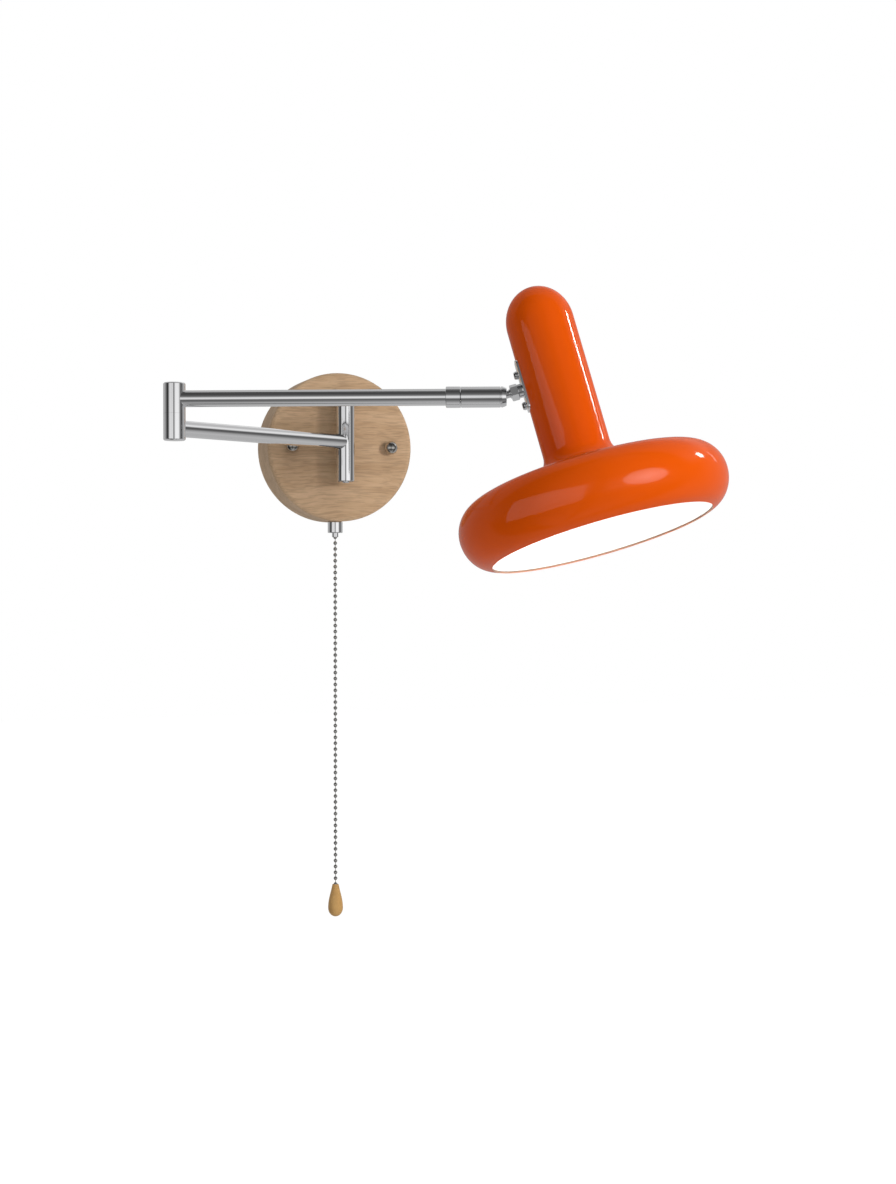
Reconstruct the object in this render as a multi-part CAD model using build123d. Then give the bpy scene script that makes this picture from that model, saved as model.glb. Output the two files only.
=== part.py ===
from build123d import *
import math
import os

# Swing arm wall lamp: a round wooden wall base, two level tube arms that swing about upright
# pivots, and a gloss mushroom shade on a ball joint, with a pull chain under the base.
# The origin is the middle of the base's wall side. +X is right along the wall, +Y goes into
# the wall and +Z is up. All sizes are in millimetres and all angles in degrees.

os.makedirs("parts", exist_ok=True)

# Clearances and fits
run_gap = 0.05
slip_gap = 0.1
hole_gap = 0.15
face_gap = 0.3
cut_over = 1.0

# Wooden base
base_r = 60.0
base_depth = 38.0
base_edge_r = 3.5
base_front_wall = 11.0
base_side_wall = 9.0
base_inner_r = base_r - base_side_wall
base_inner_face = base_depth - base_front_wall

# Mounting strap, its studs and the ball nuts
strap_end_room = 2.0
strap_length = 2 * (base_inner_r - strap_end_room)
strap_width = 20.0
strap_thickness = 2.0
slot_length = 12.0
slot_width = 5.0
stud_to_end = 8.0
stud_x = strap_length / 2 - stud_to_end
slot_to_stud = 11.0
slot_spacing = 2 * (stud_x - slot_to_stud)
stud_r = 2.0
stud_past_face = 6.0
cap_ball_r = 5.45
cap_ball_reach = 4.4
cap_foot_r = 3.6
cap_foot_length = 1.5
cap_bore_over = 0.3
earth_x = 14.0
earth_r = 2.0
earth_head_r = 3.6
earth_head_height = 2.4

# Wall pivot: block and stub above, spindle inside the turning sleeve
pivot_standoff = 14.5
pivot_y = -(base_depth + pivot_standoff)
pivot_sleeve_r = 7.5
pivot_sleeve_wall = 1.5
pivot_sleeve_inner_r = pivot_sleeve_r - pivot_sleeve_wall
pivot_top_drop = 28.0
pivot_sleeve_top = base_r - pivot_top_drop
pivot_sleeve_bottom = -28.5
bush_stand = 0.3
block_low = pivot_sleeve_top + bush_stand + face_gap
block_height = 11.4
block_high = block_low + block_height
stub_r = 4.0
stub_bore_r = 2.5
stub_z = block_low + block_height / 2
stub_seat_y = 4.6
stub_nut_flat = 13.0
stub_nut_height = 4.0
stub_washer_r = 8.0
stub_washer_height = 1.2
stub_past_nut = 2.3
spindle_r = 4.0
spindle_bore_r = 2.5
spindle_top = block_low + 3.4
spindle_tap_r = 2.0
spindle_tap_depth = 10.0
pivot_bush_length = 12.0
bush_bottom_rise = 2.5
retainer_r = 5.6
retainer_height = 1.5
retainer_screw_r = 3.5
retainer_screw_head = 2.0
window_height = 7.0

# Lower arm
arm_r = 6.0
arm_wall = 1.0
arm_inner_r = arm_r - arm_wall
arm_z = 3.0
lower_arm_length = 178.0
lower_arm_heading = 211.0
wire_hole_r = 3.5
lead_r = 0.8
lead_offset = 1.1
lead_end_gap = 10.0
lead_back_room = 9.0
lead_loop_low = 8.0
lead_loop_high = 24.0
lead_turn_r = 3.0
lead_rest = math.sqrt((arm_inner_r - lead_r - slip_gap) ** 2 - lead_offset ** 2)

# Elbow, heights from the lower arm's middle
elbow_r = 8.0
elbow_wall = 1.5
elbow_inner_r = elbow_r - elbow_wall
elbow_bottom = -8.8
elbow_rise = 21.2
elbow_split = elbow_rise / 2
elbow_seam = 0.3
elbow_cap_height = 2.0
elbow_chamfer = 0.8
elbow_pin_r = 5.0
elbow_pin_bore_r = 3.4
elbow_window_top = elbow_rise + window_height / 2 + face_gap
elbow_pin_shoulder = 2.4
elbow_pin_top = elbow_window_top + elbow_pin_shoulder
elbow_screw_room = 3.4
elbow_top = elbow_pin_top + elbow_screw_room + elbow_cap_height
elbow_washer_edge = 0.6
elbow_washer_r = elbow_r - elbow_washer_edge
elbow_washer_height = 0.25
elbow_bush_low_length = 6.0
elbow_bush_high_length = elbow_pin_shoulder - slip_gap
elbow_keeper_room = 0.5
elbow_keeper_r = elbow_inner_r - elbow_keeper_room
elbow_keeper_height = 1.0
elbow_screw_r = 2.0
elbow_screw_head_r = 3.5
elbow_screw_head = 1.8
elbow_screw_depth = 2.0
elbow_swing_low = -155.0
elbow_swing_high = 5.0

# Upper arm, its end collar and the swivel spindle, distances from the elbow's axis
upper_arm_heading = -22.0
ball_reach = 233.7
collar_to_ball = 37.7
collar_start = ball_reach - collar_to_ball
collar_length = 10.5
collar_r = 7.6
collar_seat_depth = 7.0
collar_chamfer = 0.5
swivel_spindle_r = 4.0
swivel_spindle_bore_r = 2.5
swivel_spindle_back = 3.0
swivel_spindle_length = 17.2
swivel_spindle_start = collar_start + swivel_spindle_back
swivel_spindle_end = swivel_spindle_start + swivel_spindle_length

# Swivel sleeve and ball joint, distances from the ball's centre
ball_r = 5.7
ball_play = 0.08
seat_room = 0.5
sleeve_seat_bore_r = ball_r + seat_room
sleeve_seat_wall = 1.3
sleeve_r = sleeve_seat_bore_r + sleeve_seat_wall
sleeve_start = collar_start + collar_length + face_gap - ball_reach
sleeve_web = 3.0
sleeve_step = 0.6
sleeve_nut_bore_r = sleeve_seat_bore_r - sleeve_step
sleeve_shoulder = -11.2
sleeve_end = 1.2
mouth_groove = 0.6
mouth_groove_depth = 0.5
mouth_spigot_start = -2.5
mouth_end = 5.5
mouth_taper = 1.2
mouth_end_r = sleeve_r - mouth_taper
mouth_chamfer_start = 2.6
throat_x = 3.3
flare_edge = 0.7
flare_r = mouth_end_r - flare_edge
seat_cup_start = -9.0
seat_cup_end = -2.7
seat_cup_bore_r = 2.6
seat_spring_room = 0.4
seat_spring_r = sleeve_seat_bore_r - seat_spring_room
seat_spring_inner_r = 3.4
seat_spring_height = 0.9
swivel_disc_room = 0.4
swivel_disc_r = sleeve_nut_bore_r - swivel_disc_room
swivel_disc_height = 0.7
swivel_nut_height = 3.5

# Ball stud, its nut and the saddle plate on the shade's neck
shade_roll = -8.4
shade_tilt = -15.7
stem_r = 2.8
stem_bore_r = 1.7
stem_wide_r = 3.5
stem_wide_start = 8.0
stud_nut_start = 8.9
stud_nut_height = 5.4
stud_nut_flat = 10.5
saddle_thickness = 1.5
saddle_width = 15.0
saddle_low = -15.8
saddle_high = 21.2
saddle_corner_r = 3.0
saddle_boss_r = 5.0
saddle_boss_height = 4.0
saddle_screw_z = 11.5
saddle_screw_r = 1.5
saddle_screw_head_r = 3.0
saddle_screw_head = 2.5

# Shade, heights from the ball stud's axis, radii from the shade's own axis
shade_wall = 1.2
neck_r = 24.4
dome_height = 27.5
shade_top = 70.8
foot_fillet_r = 10.0
cone_slope = 9.5
bowl_centre_r = 76.8
bowl_drop = 94.5
bowl_half_width = 20.5
bowl_rise = 22.6
bowl_sag = 24.0
rim_turn = 81.1
rim_bead_r = 0.8
neck_inner_r = neck_r - shade_wall
shade_axis_x = stud_nut_start + stud_nut_height + saddle_boss_height + neck_r

# Lamp holder and bulb, heights from the ball stud's axis
bracket_thickness = 1.5
bracket_width = 13.0
bracket_low = -16.0
bracket_high = 20.0
bracket_far = 9.0
bracket_wire_hole_r = 2.4
holder_cap_top = 7.0
holder_cap_bottom = -9.0
nipple_r = 5.0
nipple_bore_r = 3.5
nipple_in_cap = 4.0
nipple_low = holder_cap_top - nipple_in_cap
nipple_over_bracket = 5.0
nipple_high = bracket_high + nipple_over_bracket
holder_nut_flat = 14.0
holder_nut_height = 2.5
bulb_cap_r = 13.1
bulb_cap_wall = 0.5
bulb_cap_top = -20.0
bulb_cap_height = 24.0
bulb_cap_bottom = bulb_cap_top - bulb_cap_height
bulb_tip_height = 2.6
bulb_tip = bulb_cap_top + bulb_tip_height
bulb_tip_r = 4.0
bulb_neck_r = bulb_cap_r - bulb_cap_wall - slip_gap
bulb_neck_in_cap = 8.0
bulb_neck_top = bulb_cap_bottom + bulb_neck_in_cap
thread_room = 0.2
shell_wall = 1.3
shell_inner_r = bulb_cap_r + thread_room
shell_r = shell_inner_r + shell_wall
holder_round_shell = 4.4
holder_r = shell_r + holder_round_shell
holder_wall = 1.5
holder_lead_z = 0.0
holder_spigot_r = holder_r - holder_wall - slip_gap
holder_spigot_height = 4.0
holder_web = 4.0
holder_bottom = -43.0
shell_to_mouth = 3.0
shell_bottom = holder_bottom + shell_to_mouth
contact_r = 3.0
globe_r = 22.5
globe_drop = 70.0
glass_wall = 0.8
led_column_r = 6.0
led_board_r = 9.5
led_board_z = -56.0
led_board_height = 1.6
sheath_r = 1.2
sheath_start = -3.5
sheath_in_holder = 4.3
sheath_end = shade_axis_x - holder_r + sheath_in_holder

# Pull switch, its ferrule, the chain and the wooden bob
switch_width = 22.0
switch_depth = 13.0
switch_room = 0.5
switch_y = -(base_inner_face - switch_depth / 2 - switch_room)
switch_height = 20.0
switch_wall = 1.5
switch_bottom = -(math.sqrt(base_inner_r ** 2 - (switch_width / 2) ** 2) - face_gap)
switch_top = switch_bottom + switch_height
switch_neck_r = 4.9
switch_bore_r = 2.2
ferrule_r = 6.1
ferrule_top = -(base_r + run_gap)
ferrule_height = 9.0
ferrule_grip = 4.25
switch_neck_length = switch_bottom - ferrule_top + ferrule_grip
spout_r = 2.6
spout_length = 3.5
plunger_r = 1.6
plunger_head_r = 3.6
plunger_head_height = 2.0
plunger_head_top = switch_top - 4.5
spring_r = 2.8
spring_wire_r = 0.35
spring_turns = 5
chain_r = 1.6
chain_length = 284.7
pull_travel = 6.0
link_r = 2.2
link_length = 3.0
bob_r = 6.1
bob_length = 26.6
bob_neck_r = 2.7
bob_widest = 19.5
terminal_width = 30.0
terminal_height = 12.0
terminal_depth = 14.0
terminal_top = -4.0
terminal_hole_r = 1.5
terminal_pole_x = 8.0
terminal_screw_r = 1.6
terminal_screw_length = 4.0
fixing_screw_r = 1.5
fixing_screw_head_r = 3.0
fixing_screw_head = 1.8
fixing_screw_bite = 8.0
contact_width = 4.0
contact_thickness = 0.8


def rod(radius, low, high):
    """Round bar along +Z between two heights."""
    base_face = (Align.CENTER, Align.CENTER, Align.MIN)
    return Pos(0, 0, low) * Cylinder(radius, high - low, align=base_face)


def rod_x(radius, start, end):
    """Round bar along +X."""
    return Rot(0, 90, 0) * rod(radius, start, end)


def rod_out(radius, near, far):
    """Round bar that goes out from the wall, between two distances from it."""
    return Rot(90, 0, 0) * rod(radius, near, far)


def rod_in(radius, start, end):
    """Round bar along +Y, towards the wall."""
    return Rot(-90, 0, 0) * rod(radius, start, end)


def tube(radius, inner_radius, low, high):
    """Upright tube."""
    return rod(radius, low, high) - rod(inner_radius, low - cut_over, high + cut_over)


def tube_x(radius, inner_radius, start, end):
    """Tube along +X."""
    return Rot(0, 90, 0) * tube(radius, inner_radius, start, end)


def block(x0, x1, y0, y1, z0, z1):
    """Rectangular block between two corners."""
    middle = Pos((x0 + x1) / 2, (y0 + y1) / 2, (z0 + z1) / 2)
    return middle * Box(x1 - x0, y1 - y0, z1 - z0)


def hex_bar(across_flats, low, high):
    """Hexagonal bar along +Z."""
    corner_r = across_flats / math.sqrt(3)
    return Pos(0, 0, low) * extrude(RegularPolygon(corner_r, 6), high - low)


def lathe(outline):
    """Solid turned about the Z axis from a closed outline in radius and height."""
    return revolve(Plane.XZ * make_face(outline), Axis.Z)


def bevelled(piece, size, ends):
    """Bevel the outer round edge at the given ends of an upright piece: -1 bottom, 1 top."""
    for end in ends:
        rings = piece.edges().filter_by(GeomType.CIRCLE)
        level = rings.sort_by(Axis.Z)[-1 if end > 0 else 0].center().Z
        at_end = [ring for ring in rings if abs(ring.center().Z - level) < 0.01]
        widest = max(at_end, key=lambda ring: ring.radius)
        piece = chamfer(widest, size)
    return piece


# Where each moving body's own frame lies at rest
pivot_place = Pos(0, pivot_y, 0)
lower_place = Pos(0, pivot_y, arm_z) * Rot(0, 0, lower_arm_heading)
elbow_place = lower_place * Pos(lower_arm_length, 0, 0)
elbow_point = elbow_place.position
upper_place = Pos(elbow_point.X, elbow_point.Y, arm_z + elbow_rise) * Rot(0, 0, upper_arm_heading)
swivel_place = upper_place * Pos(ball_reach, 0, 0) * Rot(shade_roll, 0, 0)
lamp_place = swivel_place * Rot(0, shade_tilt, 0)
lamp_axis = lamp_place * Pos(shade_axis_x, 0, 0)
switch_place = Pos(0, switch_y, 0)


# Wooden base

def wooden_base():
    """Round oak base, hollowed from behind, with a softened front edge."""
    disc = rod_out(base_r, 0, base_depth)
    front_edge = disc.edges().filter_by(GeomType.CIRCLE).sort_by(Axis.Y)[0]
    disc = fillet(front_edge, base_edge_r)
    disc -= rod_out(base_inner_r, -cut_over, base_inner_face)
    disc -= Pos(0, 0, stub_z) * rod_out(stub_r + slip_gap, 0, base_depth + cut_over)
    for side in (-1, 1):
        disc -= Pos(side * stud_x, 0, 0) * rod_out(stud_r + hole_gap, 0, base_depth + cut_over)
    disc -= switch_place * rod(switch_neck_r + hole_gap, -base_r - cut_over, switch_bottom)
    screw_tip = base_inner_face + fixing_screw_bite
    disc -= Pos(0, 0, terminal_top - terminal_height / 2) * rod_out(fixing_screw_r, 0, screw_tip)
    return disc


def mounting_strap():
    """Steel strap that is screwed to the wall and carries the two studs."""
    strap = block(-strap_length / 2, strap_length / 2, -strap_thickness, 0, -strap_width / 2, strap_width / 2)
    slot = Rot(90, 0, 0) * extrude(SlotOverall(slot_length, slot_width), strap_thickness + cut_over)
    slot = Pos(0, cut_over / 2, 0) * slot
    for side in (-1, 1):
        strap -= Pos(side * slot_spacing / 2, 0, 0) * slot
        strap -= Pos(side * stud_x, 0, 0) * rod_out(stud_r, -cut_over, strap_thickness + cut_over)
    strap -= Pos(earth_x, 0, 0) * rod_out(earth_r, -cut_over, strap_thickness + cut_over)
    return strap


def mounting_studs():
    """Two studs riveted in the strap; they pass through the wood to the ball nuts."""
    stud = rod_out(stud_r, 0, base_depth + stud_past_face)
    return Compound([Pos(side * stud_x, 0, 0) * stud for side in (-1, 1)])


def cap_nuts():
    """Two ball nuts on a small foot that clamp the wood to the strap."""
    ball = rod_out(cap_foot_r, base_depth, base_depth + cap_foot_length)
    ball += Pos(0, -base_depth - cap_ball_reach, 0) * Sphere(cap_ball_r)
    ball -= rod_out(2 * cap_ball_r, 0, base_depth)
    ball -= rod_out(stud_r, 0, base_depth + stud_past_face + cap_bore_over)
    return Compound([Pos(side * stud_x, 0, 0) * ball for side in (-1, 1)])


def earth_screw():
    """Pan head earth screw in the strap."""
    screw = rod_out(earth_r, 0, strap_thickness)
    screw += rod_out(earth_head_r, strap_thickness, strap_thickness + earth_head_height)
    return Pos(earth_x, 0, 0) * screw


# Wall pivot, fixed to the base

def pivot_block():
    """Short upright cylinder above the sleeve; the stub and the spindle meet in it."""
    body = rod(pivot_sleeve_r, block_low, block_high)
    body -= rod(spindle_r, block_low - cut_over, spindle_top)
    body -= rod(spindle_bore_r, spindle_top - cut_over, stub_z)
    body -= Pos(0, 0, stub_z) * rod_in(stub_r, stub_seat_y, pivot_sleeve_r + cut_over)
    body -= Pos(0, 0, stub_z) * rod_in(stub_bore_r, 0, stub_seat_y + cut_over)
    return body


def pivot_stub():
    """Hollow threaded stub from the block through the base's front."""
    rear = -base_inner_face + stub_washer_height + stub_nut_height + stub_past_nut
    stub = rod_in(stub_r, stub_seat_y, rear - pivot_y)
    stub -= rod_in(stub_bore_r, 0, rear - pivot_y + cut_over)
    return Pos(0, 0, stub_z) * stub


def stub_fasteners():
    """Washer and hexagon nut behind the wood that draw the stub tight."""
    far = base_inner_face - stub_washer_height
    washer = rod_out(stub_washer_r, far, base_inner_face) - rod_out(stub_r + slip_gap, 0, base_depth)
    nut = Rot(90, 0, 0) * hex_bar(stub_nut_flat, far - stub_nut_height, far)
    nut -= rod_out(stub_r, 0, base_depth)
    return Pos(0, 0, stub_z) * Compound([washer, nut])


def pivot_spindle():
    """Fixed spindle inside the sleeve, bored for the wires down to a side window."""
    low = pivot_sleeve_bottom + bush_bottom_rise - face_gap
    spindle = rod(spindle_r, low, spindle_top)
    spindle -= rod(spindle_bore_r, arm_z - window_height / 2, spindle_top + cut_over)
    window_low = arm_z - window_height / 2
    spindle -= block(-2 * spindle_r, 2 * spindle_r, -2 * spindle_r, -spindle_r / 6,
                     window_low, window_low + window_height)
    spindle -= rod(spindle_tap_r, low - cut_over, low + spindle_tap_depth)
    return spindle


def pivot_retainer():
    """Round washer under the lower bush that carries the sleeve's weight."""
    high = pivot_sleeve_bottom + bush_bottom_rise - face_gap
    return tube(retainer_r, spindle_tap_r, high - retainer_height, high)


def pivot_bottom_screw():
    """Domed screw in the spindle's lower end."""
    seat = pivot_sleeve_bottom + bush_bottom_rise - face_gap - retainer_height
    screw = rod(retainer_screw_r, seat - retainer_screw_head, seat)
    screw = bevelled(screw, retainer_screw_head / 3, [-1])
    return screw + rod(spindle_tap_r, seat, seat + retainer_height + spindle_tap_depth - face_gap)


# Wiring in the base

def terminal_block():
    """Two pole terminal block on the inside of the base's front."""
    half = terminal_width / 2
    low = terminal_top - terminal_height
    near = base_inner_face - terminal_depth
    body = block(-half, half, -base_inner_face, -near, low, terminal_top)
    for side in (-1, 1):
        hole = Pos(side * terminal_pole_x, -(near + terminal_depth / 2), 0)
        body -= hole * rod(terminal_hole_r, low - cut_over, terminal_top + cut_over)
        for row in (0.25, 0.75):
            screw_hole = Pos(side * terminal_pole_x, 0, low + row * terminal_height)
            body -= screw_hole * rod_out(terminal_screw_r, near - cut_over, near + terminal_screw_length)
    middle = Pos(0, 0, terminal_top - terminal_height / 2)
    body -= middle * rod_out(fixing_screw_r, near - cut_over, base_depth)
    return body


def terminal_screws():
    """Four clamping screws and the wood screw that holds the terminal block."""
    low = terminal_top - terminal_height
    near = base_inner_face - terminal_depth
    screw = rod_out(terminal_screw_r, near, near + terminal_screw_length)
    places = [(side, row) for side in (-1, 1) for row in (0.25, 0.75)]
    screws = [Pos(side * terminal_pole_x, 0, low + row * terminal_height) * screw for side, row in places]
    fixing = rod_out(fixing_screw_r, near, base_inner_face + fixing_screw_bite)
    fixing += rod_out(fixing_screw_head_r, near - fixing_screw_head, near)
    screws.append(Pos(0, 0, terminal_top - terminal_height / 2) * fixing)
    return Compound(screws)


def base_leads():
    """Leads from the terminal block into the stub, and down to the pull switch."""
    pole_y = -(base_inner_face - terminal_depth / 2)
    stub_rear = -(base_inner_face - stub_washer_height - stub_nut_height - stub_past_nut)
    behind_stub = stub_rear + lead_back_room
    leads = []
    for side in (-1, 1):
        pole = Vector(side * terminal_pole_x, pole_y, terminal_top - lead_end_gap / 3)
        above = Vector(side * terminal_pole_x, pole_y, terminal_top + lead_loop_low)
        behind = Vector(side * lead_offset, behind_stub, terminal_top + lead_loop_high)
        level = Vector(side * lead_offset, behind_stub, stub_z)
        inside = Vector(side * lead_offset, pivot_y, stub_z)
        window = Vector(side * lead_offset, pivot_y, arm_z + window_height / 2)
        path = FilletPolyline(pole, above, behind, level, inside, window, radius=lead_turn_r)
        section = Plane(path @ 0, z_dir=path % 0) * Circle(lead_r)
        leads.append(sweep(section, path=path))
        low = terminal_top - terminal_height
        drop = Pos(side * terminal_pole_x, pole_y, 0) * rod(lead_r, switch_top, low + lead_end_gap / 3)
        leads.append(drop)
    return Compound(leads)


# Pull switch

def pull_switch_body():
    """Switch case in the base, with a threaded neck through the wood."""
    half = switch_width / 2
    deep = switch_depth / 2
    body = block(-half, half, -deep, deep, switch_bottom, switch_top)
    body += rod(switch_neck_r, switch_bottom - switch_neck_length, switch_bottom)
    body -= block(-half + switch_wall, half - switch_wall, -deep + switch_wall, deep + cut_over,
                  switch_bottom + switch_wall, switch_top - switch_wall)
    body -= rod(switch_bore_r, switch_bottom - switch_neck_length - cut_over, switch_bottom + 2 * switch_wall)
    return body


def pull_switch_cover():
    """Cover let into the open rear of the switch case."""
    half = switch_width / 2 - switch_wall
    deep = switch_depth / 2
    return block(-half, half, deep - switch_wall, deep, switch_bottom + switch_wall, switch_top - switch_wall)


def switch_contacts():
    """Pair of spring contacts at the sides of the switch case."""
    edge = switch_width / 2 - switch_wall
    low = switch_bottom + switch_wall
    high = switch_top - switch_wall
    strip = block(edge - contact_thickness, edge, -contact_width / 2, contact_width / 2, low, high)
    return Compound([strip, Rot(0, 0, 180) * strip])


def switch_ferrule():
    """Collar and spout under the base, screwed on the switch neck."""
    low = ferrule_top - ferrule_height
    collar = rod(ferrule_r, low, ferrule_top)
    collar = bevelled(collar, run_gap * 12, [-1, 1])
    collar += rod(spout_r, low - spout_length, low)
    collar -= rod(switch_neck_r, switch_bottom - switch_neck_length - cut_over / 2, ferrule_top + cut_over)
    return collar - rod(switch_bore_r, low - spout_length - cut_over, ferrule_top)


def switch_plunger():
    """Headed rod that the chain pulls down against its spring."""
    spout_end = ferrule_top - ferrule_height - spout_length
    head = rod(plunger_head_r, plunger_head_top - plunger_head_height, plunger_head_top)
    return head + rod(plunger_r, spout_end, plunger_head_top)


def switch_spring():
    """Return spring between the plunger's head and the floor of the case."""
    low = switch_bottom + switch_wall + spring_wire_r + slip_gap
    high = plunger_head_top - plunger_head_height - spring_wire_r - slip_gap
    path = Helix((high - low) / spring_turns, high - low, spring_r)
    section = Plane(path @ 0, z_dir=path % 0) * Circle(spring_wire_r)
    return Pos(0, 0, low) * sweep(section, path=path)


# Pull chain

def pull_chain():
    """The straight hanging chain as a plain round bar."""
    high = ferrule_top - ferrule_height - spout_length
    return rod(chain_r, high - chain_length, high)


def chain_coupling():
    """Small bell coupling between the chain and the bob."""
    high = ferrule_top - ferrule_height - spout_length - chain_length
    bell = rod(link_r, high - link_length, high)
    return bevelled(bell, link_r / 4, [1])


def wooden_bob():
    """Turned wooden pull: a tapered drop with a rounded lower end."""
    top = ferrule_top - ferrule_height - spout_length - chain_length
    bottom = top - bob_length
    widest = top - bob_widest
    shoulder = Line((0, top), (bob_neck_r, top))
    taper = ThreePointArc((bob_neck_r, top), (0.83 * bob_r, top - 0.52 * bob_widest), (bob_r, widest))
    end = EllipticalCenterArc((0, widest), bob_r, widest - bottom, 0, arc_size=-90)
    middle = Line((0, bottom), (0, top))
    bob = lathe(shoulder + taper + end + middle)
    return bob - rod(link_r + run_gap, top - link_length, top + cut_over)


# Lower arm

def wall_pivot_sleeve():
    """Turning sleeve at the wall that the lower arm is brazed to."""
    low = pivot_sleeve_bottom - arm_z
    high = pivot_sleeve_top - arm_z
    sleeve = bevelled(rod(pivot_sleeve_r, low, high), slip_gap * 5, [-1])
    sleeve -= rod(pivot_sleeve_inner_r, low - cut_over, high + cut_over)
    return sleeve - rod_x(wire_hole_r, 0, 2 * pivot_sleeve_r)


def pivot_bushes():
    """Two nylon bushes pressed in the sleeve."""
    high = pivot_sleeve_top - arm_z + bush_stand
    low = pivot_sleeve_bottom - arm_z + bush_bottom_rise
    upper = tube(pivot_sleeve_inner_r, spindle_r + run_gap, high - pivot_bush_length, high)
    lower = tube(pivot_sleeve_inner_r, spindle_r + run_gap, low, low + pivot_bush_length)
    return Compound([upper, lower])


def lower_arm_tube():
    """Tube from the wall pivot to the elbow, its ends cut to fit round both sleeves."""
    arm = tube_x(arm_r, arm_inner_r, 0, lower_arm_length)
    arm -= rod(pivot_sleeve_r, -2 * arm_r, 2 * arm_r)
    return arm - Pos(lower_arm_length, 0, 0) * rod(elbow_r, -2 * arm_r, 2 * arm_r)


def arm_leads(start, end, drop):
    """Two leads side by side along an arm, so far below its middle."""
    lead = Pos(0, 0, -drop) * rod_x(lead_r, start, end)
    return Compound([Pos(0, side * lead_offset, 0) * lead for side in (-1, 1)])


def elbow_lower_sleeve():
    """Lower half of the elbow, fixed to the lower arm; +X points away from the arm."""
    sleeve = rod(elbow_r, elbow_bottom, elbow_split - elbow_seam / 2)
    sleeve = bevelled(sleeve, elbow_chamfer, [-1])
    sleeve -= rod(elbow_inner_r, elbow_bottom - cut_over, elbow_split + cut_over)
    return sleeve - rod_x(wire_hole_r, -2 * elbow_r, 0)


def elbow_pin():
    """Elbow pin: pressed foot below, hollow journal with a wire window above."""
    foot_low = elbow_bottom + elbow_cap_height
    foot_high = elbow_split - elbow_seam / 2
    pin = rod(elbow_inner_r, foot_low, foot_high) + rod(elbow_pin_r, foot_low, elbow_pin_top)
    pin -= rod(elbow_pin_bore_r, foot_low - cut_over, elbow_window_top)
    pin -= rod_x(wire_hole_r, -2 * elbow_r, 0)
    window = block(-2 * elbow_r, 2 * elbow_r, elbow_pin_r / 6, 2 * elbow_r,
                   elbow_rise - window_height / 2, elbow_rise + window_height / 2)
    swing_middle = upper_arm_heading - lower_arm_heading + (elbow_swing_low + elbow_swing_high) / 2
    pin -= Rot(0, 0, swing_middle - 90) * window
    return pin - rod(elbow_screw_r, elbow_pin_top - elbow_screw_depth, elbow_pin_top + cut_over)


def elbow_bottom_cap():
    """Flush cap in the elbow's lower end."""
    return rod(elbow_inner_r, elbow_bottom, elbow_bottom + elbow_cap_height)


def elbow_friction_washer():
    """Thin fibre washer between the elbow's halves."""
    seat = elbow_split - elbow_seam / 2
    return tube(elbow_washer_r, elbow_pin_r + slip_gap, seat, seat + elbow_washer_height)


# Upper arm

def elbow_upper_sleeve():
    """Upper half of the elbow, fixed to the upper arm."""
    low = elbow_split + elbow_seam / 2 - elbow_rise
    high = elbow_top - elbow_rise
    sleeve = bevelled(rod(elbow_r, low, high), elbow_chamfer, [1])
    sleeve -= rod(elbow_inner_r, low - cut_over, high + cut_over)
    return sleeve - rod_x(wire_hole_r, 0, 2 * elbow_r)


def elbow_bushes():
    """Two bronze bushes round the elbow pin, under and over the wire window."""
    low = elbow_split + elbow_seam / 2 - elbow_rise
    high = elbow_pin_top - elbow_rise - slip_gap
    lower = tube(elbow_inner_r, elbow_pin_r + run_gap, low, low + elbow_bush_low_length)
    upper = tube(elbow_inner_r, elbow_pin_r + run_gap, high - elbow_bush_high_length, high)
    return Compound([lower, upper])


def elbow_fasteners():
    """Washer and screw on the pin that keep the upper half down."""
    seat = elbow_pin_top + elbow_keeper_height
    washer = tube(elbow_keeper_r, elbow_screw_r + slip_gap, elbow_pin_top, seat)
    screw = rod(elbow_screw_r, elbow_pin_top - elbow_screw_depth + slip_gap, seat)
    screw += rod(elbow_screw_head_r, seat, seat + elbow_screw_head)
    return Compound([washer, screw])


def elbow_top_cap():
    """Flush cap in the elbow's upper end."""
    high = elbow_top - elbow_rise
    return rod(elbow_inner_r, high - elbow_cap_height, high)


def upper_arm_tube():
    """Tube from the elbow to the end collar."""
    arm = tube_x(arm_r, arm_inner_r, 0, collar_start + collar_seat_depth)
    return arm - rod(elbow_r, -2 * arm_r, 2 * arm_r)


def arm_end_collar():
    """Collar on the arm's end, threaded for the swivel spindle."""
    collar = bevelled(rod(collar_r, 0, collar_length), collar_chamfer, [-1, 1])
    collar -= rod(arm_r, -cut_over, collar_seat_depth)
    collar -= rod(swivel_spindle_r, 0, collar_length + cut_over)
    return Pos(collar_start, 0, 0) * Rot(0, 90, 0) * collar


def swivel_spindle():
    """Hollow threaded spindle that the shade's sleeve turns on."""
    return tube_x(swivel_spindle_r, swivel_spindle_bore_r, swivel_spindle_start, swivel_spindle_end)


def swivel_friction_discs():
    """Two spring discs between the sleeve's web and the nut."""
    start = ball_reach + sleeve_start + sleeve_web + slip_gap
    disc = tube_x(swivel_disc_r, swivel_spindle_r + run_gap, start, start + swivel_disc_height)
    return Compound([disc, Pos(swivel_disc_height, 0, 0) * disc])


def swivel_nut():
    """Round nut that sets the friction of the swivel."""
    start = ball_reach + sleeve_start + sleeve_web + slip_gap + 2 * swivel_disc_height
    nut = tube_x(swivel_disc_r, swivel_spindle_r, start, start + swivel_nut_height)
    slot = block(start + swivel_nut_height / 2, start + swivel_nut_height + cut_over,
                 -2 * sleeve_r, 2 * sleeve_r, -0.8, 0.8)
    return nut - (slot - rod_x(swivel_spindle_r, start, start + 2 * swivel_nut_height))


# Swivel sleeve with the ball's seat

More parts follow.
